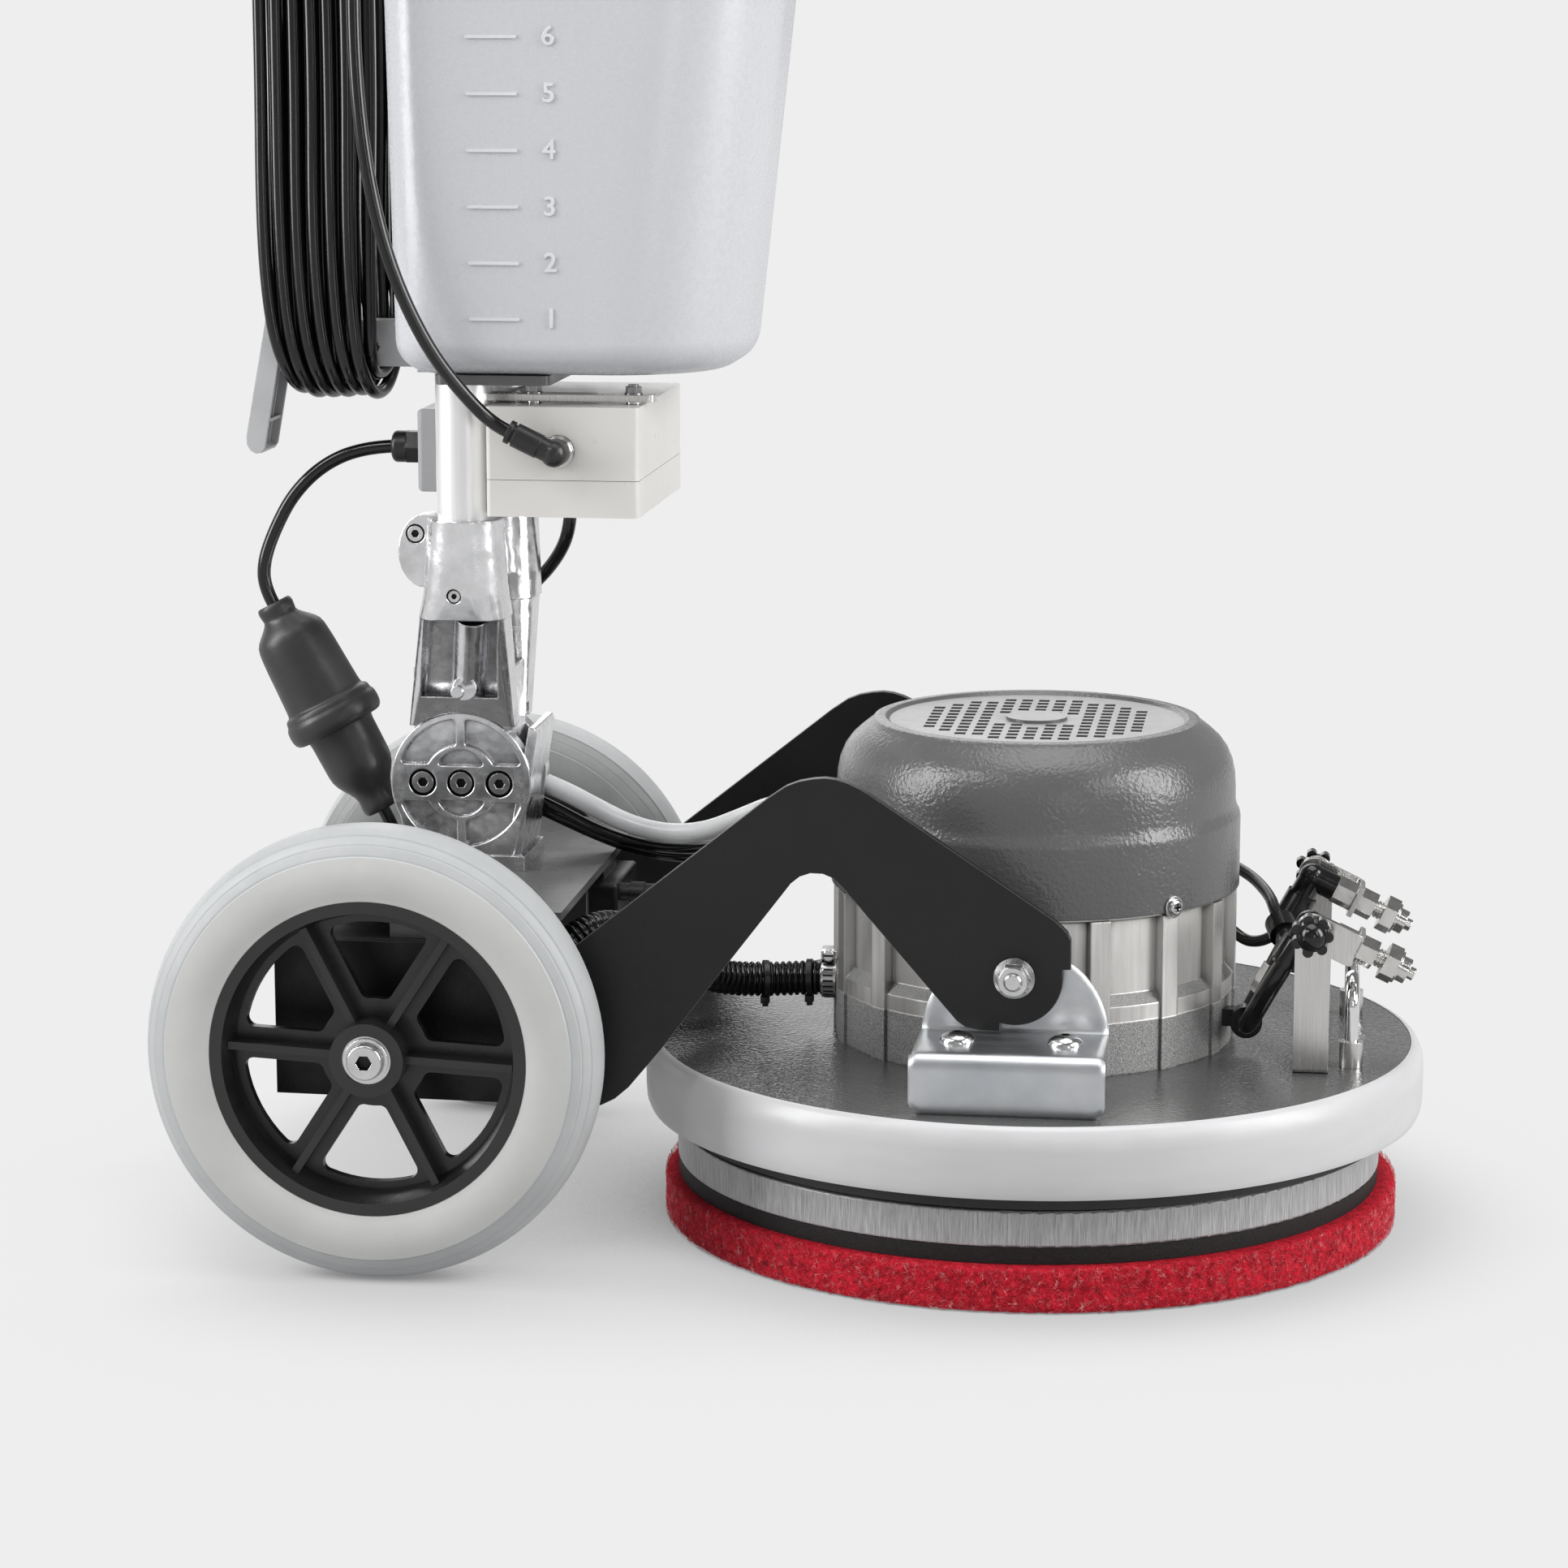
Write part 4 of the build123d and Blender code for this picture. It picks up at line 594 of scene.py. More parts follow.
def nozzle_regions(side, down):
    ca, sa = math.cos(math.radians(down)), math.sin(math.radians(down))
    d = np.array([ca, 0, -sa])
    y0 = side * 66.6
    p = np.array([163.5, y0, 190.5])

    def black(c, n):
        s = (c - p) @ d
        return (s < 13.65) & (np.abs(c[:, 1]) < 78.2)

    def strap(c, n):
        v = c - p
        s = v @ d
        off = np.linalg.norm(v - s[:, None] * d, axis=1)
        return (np.abs(c[:, 1]) > 78.4) | ((s > 25.9) & (s < 29.1) & (off > 8.7))

    return black, strap


def hole(c, x, z, r, y0, y1):
    """Faces within r of a line along Y, on either side between two distances from the middle plane."""
    y = np.abs(c[:, 1])
    return (np.hypot(c[:, 0] - x, c[:, 2] - z) < r) & (y > y0) & (y < y1)


HINGE = [(-361.0, 254.0), (-338.0, 254.0), (-315.0, 254.0)]
for nm, side, down in (("nozzle_near", -1, 25.0), ("nozzle_far", 1, 25.8)):
    black, strap = nozzle_regions(side, down)
    coat(nm, "nickel", ("black_gloss", black), ("stainless", strap))
coat("spray_valve", "black_gloss", ("nickel", lambda c, n: near_line(c, (149.3, -28, 172), (-0.45, 0, -0.893), 9, 16.4, 35.1)))
for nm, s in (("knob_near", -1), ("knob_far", 1)):
    coat(nm, "black_gloss", ("steel_screws", lambda c, n: np.abs(c[:, 1]) < 85.3))
coat("lift_handle", "chrome", ("stainless", lambda c, n: c[:, 2] < 123.05))
coat("hinge_base", "polished_casting", ("black_plastic", lambda c, n: (c[:, 1] > 31.2)),
     # counterbores painted near black: painted shade
     ("socket_dark", lambda c, n: hole(c, *HINGE[0], 8.25, 23.5, 29.7) | hole(c, *HINGE[1], 8.25, 23.5, 29.7) | hole(c, *HINGE[2], 8.25, 23.5, 29.7)))
# sockets painted near black: painted shade
coat("hinge_head", "polished_casting", ("socket_dark", lambda c, n: hole(c, -356.0, 406.2, 5.65, 57.5, 66.5) | hole(c, -331.8, 371.2, 4.4, 69.5, 90)))
coat("handle_fittings", "black_plastic",
     ("nickel", lambda c, n: (c[:, 1] < -81.95) & (c[:, 1] > -83.65) & (np.abs(c[:, 2] - 457) < 14) & (np.abs(c[:, 0] + 268.5) < 14)))
coat("handle_screws", "steel_screws", ("dark_screws", lambda c, n: (c[:, 2] > 487.5) & (c[:, 2] < 493.5) & (c[:, 1] < -40)),
     # sockets painted near black: painted shade
     ("socket_dark", lambda c, n: hole(c, -356.0, 406.2, 2.5, 59.5, 62.15) | hole(c, -331.8, 371.2, 1.75, 68.5, 70.95)))
coat("frame_bolts", "steel_screws",
     # pivot nut: chamfer and cone painted darker, flanks darker still: painted shade by facing
     ("dark_screws", lambda c, n: hole(c, 0.0, 174.5, 13.0, 151.5, 165.5) & (np.abs(n[:, 1]) < 0.9)),
     ("nut_dark", lambda c, n: hole(c, 0.0, 174.5, 13.0, 151.5, 165.5) & (np.abs(n[:, 1]) < 0.4)),
     # sockets painted near black: painted shade
     ("socket_dark", lambda c, n: hole(c, *HINGE[0], 3.1, 25.5, 29.55) | hole(c, *HINGE[1], 3.1, 25.5, 29.55) | hole(c, *HINGE[2], 3.1, 25.5, 29.55) | hole(c, -356.0, 130.0, 4.6, 212.0, 216.4)))
coat("deck_screws", "steel_screws",
     # sockets and the gaps round the cover screws painted near black: painted shade
     ("socket_dark", lambda c, n: (np.hypot(np.abs(c[:, 0]) - 30.0, np.abs(c[:, 1]) - 170.0) < 2.9) & (c[:, 2] > 144.3) & (c[:, 2] < 147.3)),
     ("socket_dark", lambda c, n: (np.hypot(c[:, 0], c[:, 1]) > 122.1) & (np.hypot(c[:, 0], c[:, 1]) < 123.7) & (np.hypot((np.abs(c[:, 0]) - np.abs(c[:, 1])) / math.sqrt(2), c[:, 2] - 203.0) < 2.5)))
coat("mains_plug", "black_rubber", ("nickel", lambda c, n: c[:, 2] < 839.9))


def even_shading(o):
    """Round faces shade round and flat faces stay flat: vertices joined, split again along real edges."""
    me = o.data
    if "custom_normal" in me.attributes:
        me.attributes.remove(me.attributes["custom_normal"])
    me.polygons.foreach_set("use_smooth", [True] * len(me.polygons))
    me.update()
    w = o.modifiers.new("join", "WELD")
    w.merge_threshold = 1e-5
    s = o.modifiers.new("edges", "EDGE_SPLIT")
    s.split_angle = math.radians(32)
    s.use_edge_sharp = False
    n = o.modifiers.new("flats", "WEIGHTED_NORMAL")
    n.mode = "FACE_AREA"
    n.weight = 50
    n.keep_sharp = False


for nm in NODES:
    even_shading(NODES[nm])


# ------------------------------------------------------------------ geometry helpers
def put(name, verts, faces, look, angle=40.0):
    me = bpy.data.meshes.new(name)
    me.from_pydata([tuple(v) for v in verts], [], faces)
    me.validate()
    me.polygons.foreach_set("use_smooth", [True] * len(me.polygons))
    me.set_sharp_from_angle(angle=math.radians(angle))
    me.materials.append(LOOKS[look])
    o = bpy.data.objects.new(name, me)
    SCENE.collection.objects.link(o)
    return o


class Build:
    """Collects verts and faces of several shapes into one mesh."""

    def __init__(self):
        self.v, self.f, self.m = [], [], []

    def add(self, verts, faces, mat=0):
        k = len(self.v)
        self.v += [Vector(p) for p in verts]
        self.f += [tuple(i + k for i in q) for q in faces]
        self.m += [mat] * len(faces)

    def lathe(self, profile, origin, axis, seg=40, mat=0, mod=None):
        """Closed solid of revolution: profile of (radius, distance along the axis) in metres."""
        a = Vector(axis).normalized()
        u = a.orthogonal().normalized()
        w = a.cross(u)
        o = Vector(origin)
        verts, faces = [], []
        rings = []
        for r, s in profile:
            if r < 1e-7:
                verts.append(o + a * s)
                rings.append([len(verts) - 1])
                continue
            ids = []
            for i in range(seg):
                t = 2 * math.pi * i / seg
                rr = r * (mod(t, s) if mod else 1.0)
                verts.append(o + a * s + (u * math.cos(t) + w * math.sin(t)) * rr)
                ids.append(len(verts) - 1)
            rings.append(ids)
        for p, q in zip(rings[:-1], rings[1:]):
            for i in range(seg):
                j = (i + 1) % seg
                if len(p) == 1 and len(q) == 1:
                    continue
                if len(p) == 1:
                    faces.append((p[0], q[i], q[j]))
                elif len(q) == 1:
                    faces.append((p[j], p[i], q[0]))
                else:
                    faces.append((p[i], q[i], q[j], p[j]))
        if len(rings[0]) > 1:
            faces.append(tuple(rings[0]))
        if len(rings[-1]) > 1:
            faces.append(tuple(reversed(rings[-1])))
        # outward faces
        faces = [tuple(reversed(f)) for f in faces]
        self.add(verts, faces, mat)

    def tube(self, pts, radius, seg=16, mat=0, radii=None):
        """Closed tube along points, frames carried without twist."""
        n = len(pts)
        tang = []
        for i in range(n):
            t = pts[min(i + 1, n - 1)] - pts[max(i - 1, 0)]
            tang.append(t.normalized())
        u = tang[0].orthogonal().normalized()
        verts, faces = [], []
        for i in range(n):
            if i:
                u = (u - tang[i] * u.dot(tang[i])).normalized()
            w = tang[i].cross(u)
            r = radii[i] if radii else radius
            for k in range(seg):
                t = 2 * math.pi * k / seg
                verts.append(pts[i] + (u * math.cos(t) + w * math.sin(t)) * r)
        for i in range(n - 1):
            for k in range(seg):
                j = (k + 1) % seg
                faces.append((i * seg + k, i * seg + j, (i + 1) * seg + j, (i + 1) * seg + k))
        faces.append(tuple(range(seg - 1, -1, -1)))
        faces.append(tuple((n - 1) * seg + k for k in range(seg)))
        self.add(verts, faces, mat)

    def block(self, centre, x, y, z, hx, hy, hz, mat=0, cham=0.0):
        """Box with chamfered edges along its z axis; x, y, z are unit vectors."""
        c, x, y, z = Vector(centre), Vector(x), Vector(y), Vector(z)
        k = min(cham, hx * 0.9, hy * 0.9)
        out = [(hx - k, hy), (hx, hy - k), (hx, -hy + k), (hx - k, -hy), (-hx + k, -hy), (-hx, -hy + k), (-hx, hy - k), (-hx + k, hy)] if k > 0 else \
              [(hx, hy), (hx, -hy), (-hx, -hy), (-hx, hy)]
        n = len(out)
        verts = [c + x * a + y * b - z * hz for a, b in out] + [c + x * a + y * b + z * hz for a, b in out]
        faces = [tuple(range(n)), tuple(range(2 * n - 1, n - 1, -1))]
        for i in range(n):
            j = (i + 1) % n
            faces.append((j, i, n + i, n + j))
        self.add(verts, faces, mat)

    def done(self, name, looks, angle=40.0):
        looks = [looks] if isinstance(looks, str) else looks
        o = put(name, self.v, self.f, looks[0], angle)
        for l in looks[1:]:
            o.data.materials.append(LOOKS[l])
        if len(looks) > 1 and len(o.data.polygons) == len(self.m):
            o.data.polygons.foreach_set("material_index", self.m)
        return o


def spline(name, points):
    """Curve of one open NURBS spline through the route's control points, in metres."""
    cu = bpy.data.curves.new(name, "CURVE")
    cu.dimensions = "3D"
    sp = cu.splines.new("NURBS")
    sp.points.add(len(points) - 1)
    for q, p in zip(sp.points, points):
        q.co = (p[0], p[1], p[2], 1.0)
    sp.order_u = 3
    sp.use_endpoint_u = True
    sp.resolution_u = 12
    cu.resolution_u = 12
    o = bpy.data.objects.new(name, cu)
    SCENE.collection.objects.link(o)
    return o


def read_line(points, fine=24):
    """Points read from the route's own smooth spline."""
    o = spline("route", points)
    o.data.resolution_u = fine
    o.data.splines[0].resolution_u = fine
    bpy.context.view_layer.update()
    me = bpy.data.meshes.new_from_object(o)
    pts = [v.co.copy() for v in me.vertices]
    bpy.data.objects.remove(o)
    bpy.data.meshes.remove(me)
    return pts


def stations(pts):
    s = [0.0]
    for a, b in zip(pts[:-1], pts[1:]):
        s.append(s[-1] + (b - a).length)
    return s


def at(pts, s, x):
    """Point and direction at distance x along a read line."""
    i = int(np.clip(np.searchsorted(s, x) - 1, 0, len(pts) - 2))
    t = (x - s[i]) / max(s[i + 1] - s[i], 1e-9)
    return pts[i].lerp(pts[i + 1], t), (pts[i + 1] - pts[i]).normalized()


def stand_for(o, node, body=None):
    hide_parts(node)
    if body:
        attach(o, body)
    return o


# ------------------------------------------------------------------ mains cord, wound on the two hooks
def hank_points():
    g = random.Random(3)
    j = lambda a: g.uniform(-a, a)
    sway = lambda z: 1.6 * math.sin(z / 95.0 + 0.6)
    pts = [mm(-404, 50, 1046), mm(-404, 50, 1030), mm(-398, 47, 990), mm(-388, 42, 950), mm(-383, 34, 900)]
    # turns of two layers: X halfway up, X at the folds, half width
    turns = [(-389.0 - 9.2 * i, -389.6 - 8.25 * i, 24.7) for i in range(7)] + [(-450.5 + 10.1 * i, -433.5 + 8.7 * i, 33.2) for i in range(6)]
    for k, (x, f, r) in enumerate(turns):
        last = k == len(turns) - 1
        nx, nf, nr = (-421.0, -411.0, 42.0) if last else turns[k + 1]
        zb = 493.5 - g.uniform(0.0, 0.8) if r < 30 else 484.8 - g.uniform(0.0, 3.6)
        zt = 1026.3 if r < 30 else 1034.9 + g.uniform(0.0, 1.6)
        if last:
            zt = 1043.4
        c = r * 0.414
        fx = x + 5.0
        # far side, going down
        if k == 0:
            pts += [mm(fx, r, 830), mm(fx, r, 700)]
        else:
            pts += [mm(fx + sway(900) + j(0.5), r + j(0.4), 900), mm(fx + sway(770) + j(0.6), r + j(0.5), 770), mm(fx + sway(650) + j(0.5), r + j(0.4), 650)]
        pts += [mm(fx * 0.75 + f * 0.25, r, 575), mm(f + 5.5, r, zb + r + c), mm(f + 4.0, r, zb + r - c), mm(f + 1.6, c, zb)]
        # fold under the hook's arm, then up the near side
        pts += [mm(f - 1.4, -c, zb), mm(x * 0.42 + f * 0.58, -r, zb + r - c), mm(x * 0.78 + f * 0.22, -r, zb + r + c), mm(x * 0.97 + f * 0.03 + j(0.4), -r, 582)]
        pts += [mm(x + sway(670) + j(0.7), -r + j(0.5), 670), mm(x + sway(780) + j(0.9), -r + j(0.6), 780), mm(x + sway(890) + j(0.7), -r + j(0.5), 890)]
        R = (r + min(nr, 33.2)) / 2
        pts += [mm(x * 0.8 + f * 0.2, -r, zt - R - c), mm(x * 0.45 + f * 0.55, -r, zt - R + c), mm(f * 0.75 + nf * 0.25 + 0.8, -c, zt), mm(f * 0.25 + nf * 0.75 + 2.4, c, zt),
                mm(nf + 4.2, nr, zt - R + c), mm(nf * 0.7 + (nx + 5.0) * 0.3 + 2.0, nr, zt - R - c)]
    # tail, down to the plug on the far side
    pts += [mm(-420, 47, 955), mm(-423.5, 53.5, 928), mm(-424, 56, 908), mm(-424, 56, 893)]
    return pts


cord = spline("cord_mains", hank_points())
cord.data.bevel_depth = 0.0039
cord.data.bevel_resolution = 5
cord.data.use_fill_caps = True
cord.data.materials.append(LOOKS["cord_black"])
stand_for(cord, "mains_cord", body="handle")

b = Build()
b.lathe([(0.0, 0.0), (0.0088, 0.0), (0.0088, 0.004), (0.0072, 0.006), (0.0066, 0.009), (0.0071, 0.0105), (0.0064, 0.013), (0.0068, 0.0145), (0.0060, 0.017),
         (0.0064, 0.0185), (0.0057, 0.021), (0.0060, 0.0225), (0.0054, 0.025), (0.0056, 0.0265), (0.0050, 0.029), (0.0047, 0.036), (0.0, 0.036)], mm(-404, 50, 1060), (0, 0, -1), 28)
relief = b.done("cord_strain_relief", "black_rubber")
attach(relief, "handle")

# ------------------------------------------------------------------ hoses
ED = mm(-21.5, 0, 10.2).normalized()
EL = mm(-268.5, -93, 457)
S0 = EL + ED * 0.029
SUCTION = [S0, S0 + ED * 0.010, mm(-318, -100, 490), mm(-335, -105, 513), mm(-350, -108, 543), mm(-361, -109, 574), mm(-369, -109.5, 610), mm(-374, -110, 650),
           mm(-376, -110, 695), mm(-375, -110, 745), mm(-370, -109.5, 800), mm(-366, -109, 853), mm(-341.7, -95.3, 881), mm(-307.3, -75.7, 881), mm(-283, -62, 853), mm(-283, -62, 833)]
suction = spline("hose_suction", SUCTION)
suction.data.bevel_depth = 0.004
suction.data.bevel_resolution = 5
suction.data.use_fill_caps = True
suction.data.materials.append(LOOKS["black_gloss"])
stand_for(suction, "suction_hose", body="handle")


def hose_mesh(name, points, radius, look, node, blend=None, body=None, seg=18):
    pts = read_line(points)
    b = Build()
    b.tube(pts, radius, seg)
    o = b.done(name, look)
    stand_for(o, node)
    if blend:
        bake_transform(o)
    else:
        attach(o, body)
    return o


OUTLET = [mm(-287, 60, 410.5), mm(-287, 60, 395), mm(-298, 70, 374), mm(-318, 83, 354), mm(-344, 88, 330), mm(-362, 80, 302), mm(-367, 65, 274), mm(-361, 50, 250),
          mm(-347, 41, 236.5), mm(-330.05, 39, 233)]
hose_mesh("hose_outlet", OUTLET, 0.004, "black_gloss", "outlet_hose", blend=("carriage", "handle", mm(-340, 50, 240), mm(-310, 75, 385)))

GREY = [mm(-305.95, 39, 244.5), mm(-290, 37.5, 239), mm(-270, 33, 230), mm(-248, 26, 221), mm(-224, 20, 216.5), mm(-200, 18, 218.5), mm(-179, 26, 226), mm(-164, 44, 230.5),
        mm(-156, 66, 228), mm(-153.2, 89.2, 213), mm(-146, 99.9, 199.4), mm(-134, 105.6, 186.1), mm(-118.9, 105.5, 175), mm(-102.7, 99.6, 167.5), mm(-95.2, 94.2, 166.1)]
TIP_F = mm(148.837, 66.6, 165.953)
DF = mm(-0.467, 0, -0.884).normalized()
BLK1 = [mm(-305.95, 39, 232.5), mm(-291, 38, 226), mm(-270, 34, 216), mm(-246, 29, 209), mm(-220, 27, 206), mm(-196, 34, 207), mm(-172, 54, 212), mm(-146, 84, 214), mm(-112, 112, 214),
        mm(-72, 128, 214), mm(-30, 133.5, 214), mm(10, 134, 209), mm(46, 129, 199), mm(76, 117, 183), mm(99, 101, 165), mm(119.8, 81.7, 147.6), mm(132.6, 72.2, 148.9),
        TIP_F + DF * 0.009, TIP_F]
VO = mm(149.3, -28, 172)
VD = mm(-0.45, 0, -0.893).normalized()
VI = mm(-0.25, 0.9, 0.36).normalized()
VIN = VO + VI * 0.020
V2 = VO + VD * 0.0507 + mm(0, -16, 0)
BLK2 = [mm(-305.95, 44, 226), mm(-292, 43.5, 220), mm(-270, 41, 211), mm(-246, 37, 203.5), mm(-220, 36, 199), mm(-194, 44, 199.5), mm(-170, 62, 203), mm(-144, 90, 205), mm(-110, 117, 205),
        mm(-70, 130, 205), mm(-28, 133.5, 203), mm(18, 131, 203), mm(62, 116, 202), mm(98, 89, 199.5), mm(124, 56, 195), mm(137.5, 22, 189), VIN + VI * 0.012, VIN]
TIP_N = mm(147.603, -66.6, 166.62)
DN = mm(-0.51, 0, -0.86).normalized()
NEAR = [V2, V2 + mm(0, -9, 0), V2 + mm(3.2, -16.1, 6.3), TIP_N + DN * 0.012, TIP_N]
DECK_BLEND = ("carriage", "deck", mm(-300, 35, 230), mm(-170, 35, 210))
hose_mesh("hose_grey", GREY, 0.006, "hose_grey", "deck_hoses", blend=DECK_BLEND)
hose_mesh("hose_spray_far", BLK1, 0.0035, "black_gloss", "deck_hoses", blend=DECK_BLEND)
hose_mesh("hose_spray_near", BLK2, 0.0035, "black_gloss", "deck_hoses", blend=DECK_BLEND)
hose_mesh("hose_jumper", NEAR, 0.0056, "black_gloss", "deck_hoses", blend=("deck", "nozzle_near", V2, TIP_N))

# corrugated conduit from the motor to the carriage
CONDUIT = [mm(-101, 0, 136), mm(-130, 0, 136), mm(-160, -2, 134), mm(-188, -14, 137), mm(-210, -36, 152), mm(-227, -62, 172), mm(-242, -88, 184), mm(-259, -106, 178), mm(-275, -116, 160),
           mm(-291, -119, 139), mm(-310, -119, 124)]


def corrugated(name, points, r_out, r_in, pitch, look, node):
    line = read_line(points, 40)
    s = stations(line)
    n = int(s[-1] / pitch)
    shape = [(0.0, r_in), (0.12, r_in), (0.22, r_in + 0.45 * (r_out - r_in)), (0.33, r_out - 0.00035), (0.45, r_out - 0.00006), (0.55, r_out), (0.66, r_out - 0.00008), (0.78, r_out - 0.0004), (0.89, r_in + 0.45 * (r_out - r_in))]
    pts, radii = [], []
    for i in range(n):
        for t, r in shape:
            p, _ = at(line, s, (i + t) * s[-1] / n)
            pts.append(p)
            radii.append(r)
    pts.append(line[-1])
    radii.append(r_in)
    b = Build()
    b.tube(pts, r_out, 32, radii=radii)
    o = b.done(name, look, 60)
    stand_for(o, node)
    return o, line


conduit, conduit_line = corrugated("conduit_motor", CONDUIT, 0.0104, 0.0089, 0.0038, "black_gloss", "motor_conduit")
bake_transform(conduit)

# motor lead with its rubber plug and socket
CA, CB = mm(-456.8, 0, 355), mm(-391.8, 0, 231.6)
cd = (CB - CA).normalized()
CL = (CB - CA).length
LEAD_UP = [mm(-382.05, 0, 450), mm(-400, 0, 449), mm(-424, 0, 439), mm(-443, 0, 421), mm(-455, 0, 399), mm(-462, 0, 380), CA - cd * 0.011, CA]
LEAD_LO = [CB, CB + cd * 0.012, mm(-383.6, 0, 210), mm(-383, 0, 197), mm(-383, 0, 183)]


def lathe_piece(name, profile, origin, axis, look, seg=48, angle=50):
    b = Build()
    b.lathe(profile, origin, axis, seg)
    return b.done(name, look, angle)


up_prof = [(0.0, 0.0020), (0.0050, 0.0020), (0.0053, 0.0), (0.0098, 0.0), (0.0108, 0.0012), (0.0111, 0.0035), (0.0108, 0.0062), (0.0105, 0.0085), (0.0113, 0.0101), (0.0133, 0.0123), (0.0163, 0.0151), (0.0190, 0.0178),
           (0.0207, 0.0205), (0.0217, 0.0240), (0.0222, 0.0290), (0.0227, 0.036), (0.0232, 0.048), (0.0239, 0.0622), (0.0242, 0.0645), (0.0243, 0.0652), (0.0250, 0.0660), (0.0262, 0.0666), (0.0271, 0.0678), (0.0275, 0.0697),
           (0.0278, 0.0710), (0.0286, 0.0720), (0.0291, 0.0738), (0.0293, 0.0765), (0.0291, 0.0797), (0.0284, 0.0820), (0.0269, 0.0837), (0.0252, 0.0843), (0.0236, 0.0839), (0.0229, 0.0824), (0.0229, 0.0800), (0.0, 0.0800)]
lo_prof = [(0.0, 0.0801), (0.0216, 0.0801), (0.0216, 0.0832), (0.0209, 0.0847), (0.0204, 0.0875), (0.0202, 0.0990), (0.0200, 0.1085), (0.0195, 0.1122), (0.0181, 0.1160), (0.0159, 0.1196), (0.0137, 0.1228), (0.0122, 0.1256),
           (0.0113, 0.1285), (0.0112, 0.1315), (0.0115, 0.1340), (0.0114, 0.1368), (0.0106, CL - 0.0010), (0.0094, CL), (0.0054, CL), (0.0050, CL - 0.0040), (0.0, CL - 0.0040)]
c_up = lathe_piece("coupling_plug", up_prof, CA, cd, "black_rubber")
c_lo = lathe_piece("coupling_socket", lo_prof, CA, cd, "black_rubber")
for o in (c_up, c_lo):
    stand_for(o, "lead_coupling")
    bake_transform(o)
for nm, route, mate in (("lead_upper", LEAD_UP, c_up), ("lead_lower", list(reversed(LEAD_LO)), c_lo)):
    pts = read_line(route)
    b = Build()
    b.tube(pts, 0.004, 18)
    o = b.done(nm, "cord_black")
    stand_for(o, "motor_lead")
    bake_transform(o)


# ------------------------------------------------------------------ fibre pad
def make_pad():
    cx, R, T = -0.0015, 0.216, 0.026
    g = np.random.default_rng(11)
    prof = [(0.150, T - 0.0006), (0.190, T - 0.0005), (0.205, T - 0.0004), (0.2105, T - 0.0003), (R - 0.0030, T - 0.0004), (R - 0.0011, T - 0.0014), (R - 0.0003, T - 0.0032)]
    prof += [(R, T - 0.0032 - (T - 0.0060) * i / 9) for i in range(1, 9)]
    prof += [(R - 0.0004, 0.0022), (R - 0.0014, 0.0007), (R - 0.0032, 0.0001), (0.205, 0.0), (0.150, 0.0)]
    N = 1080
    verts, faces = [], []
    from mathutils import noise as mn
    for r, z in prof:
        side = min(1.0, max(0.0, (r - 0.204) / 0.008))
        for i in range(N):
            t = 2 * math.pi * i / N
            p = Vector((r * math.cos(t), r * math.sin(t), z))
            q = p * 190.0
            d = (mn.noise(q) * 0.9 + mn.noise(q * 2.3) * 0.5) * 0.0011 * side
            dz = mn.noise(p * 160.0 + Vector((7, 3, 1))) * 0.0005 * side if 0.001 < z < T - 0.001 else 0.0
            rr = min(r + d, R + 0.0012)
            verts.append((cx + rr * math.cos(t), rr * math.sin(t), max(0.0, min(T, z + dz))))
    m = len(prof)
    for k in range(m - 1):
        for i in range(N):
            j = (i + 1) % N
            faces.append((k * N + i, (k + 1) * N + i, (k + 1) * N + j, k * N + j))
    faces.append(tuple(range(N)))
    faces.append(tuple((m - 1) * N + i for i in range(N - 1, -1, -1)))
    pad = put("pad_fibre_disc", verts, [tuple(reversed(f)) for f in faces], "pad_red", 180)
    stand_for(pad, "cleaning_pad", body="driver")
    # loose fibres on the cut edge
    n = 11000
    v = np.zeros((n, 4, 3, 3))
    for f in range(n):
        t = g.uniform(0, 2 * math.pi)
        z = g.uniform(0.0012, T - 0.0006)
        ln = g.uniform(0.003, 0.009)
        turn = g.uniform(0, 2 * math.pi)
        rad = Vector((math.cos(t), math.sin(t), 0))
        tan = Vector((-math.sin(t), math.cos(t), 0))
        lie = tan * math.cos(turn) + Vector((0, 0, 1)) * math.sin(turn)
        bow = g.uniform(0.0004, 0.0017)
        side = tan * -math.sin(turn) + Vector((0, 0, 1)) * math.cos(turn)
        wig = g.uniform(-0.0012, 0.0012)
        w = g.uniform(0.000050, 0.00012)
        base = Vector((cx, 0, z)) + rad * (R - 0.0004)
        for i in range(4):
            s = i / 3 - 0.5
            out = bow * (1 - (2 * s) ** 2) + (g.uniform(-0.0001, 0.0005) if i in (0, 3) else 0)
            p = base + lie * (s * ln) + rad * out + side * (wig * math.sin(s * 5))
            p.z = min(max(p.z, 0.0003), T + 0.0006)
            v[f, i, 0] = p + rad * w
            v[f, i, 1] = p - rad * w * 0.5 + side * w
            v[f, i, 2] = p - rad * w * 0.5 - side * w
    faces = []
    for f in range(n):
        k = f * 12
        for i in range(3):
            a = k + i * 3
            for q in range(3):
                r = (q + 1) % 3
                faces.append((a + q, a + r, a + 3 + r, a + 3 + q))
        faces.append((k + 2, k + 1, k))
        faces.append((k + 9, k + 10, k + 11))
    fib = put("pad_loose_fibres", v.reshape(-1, 3).tolist(), faces, "pad_fibre", 180)
    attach(fib, "driver")


make_pad()


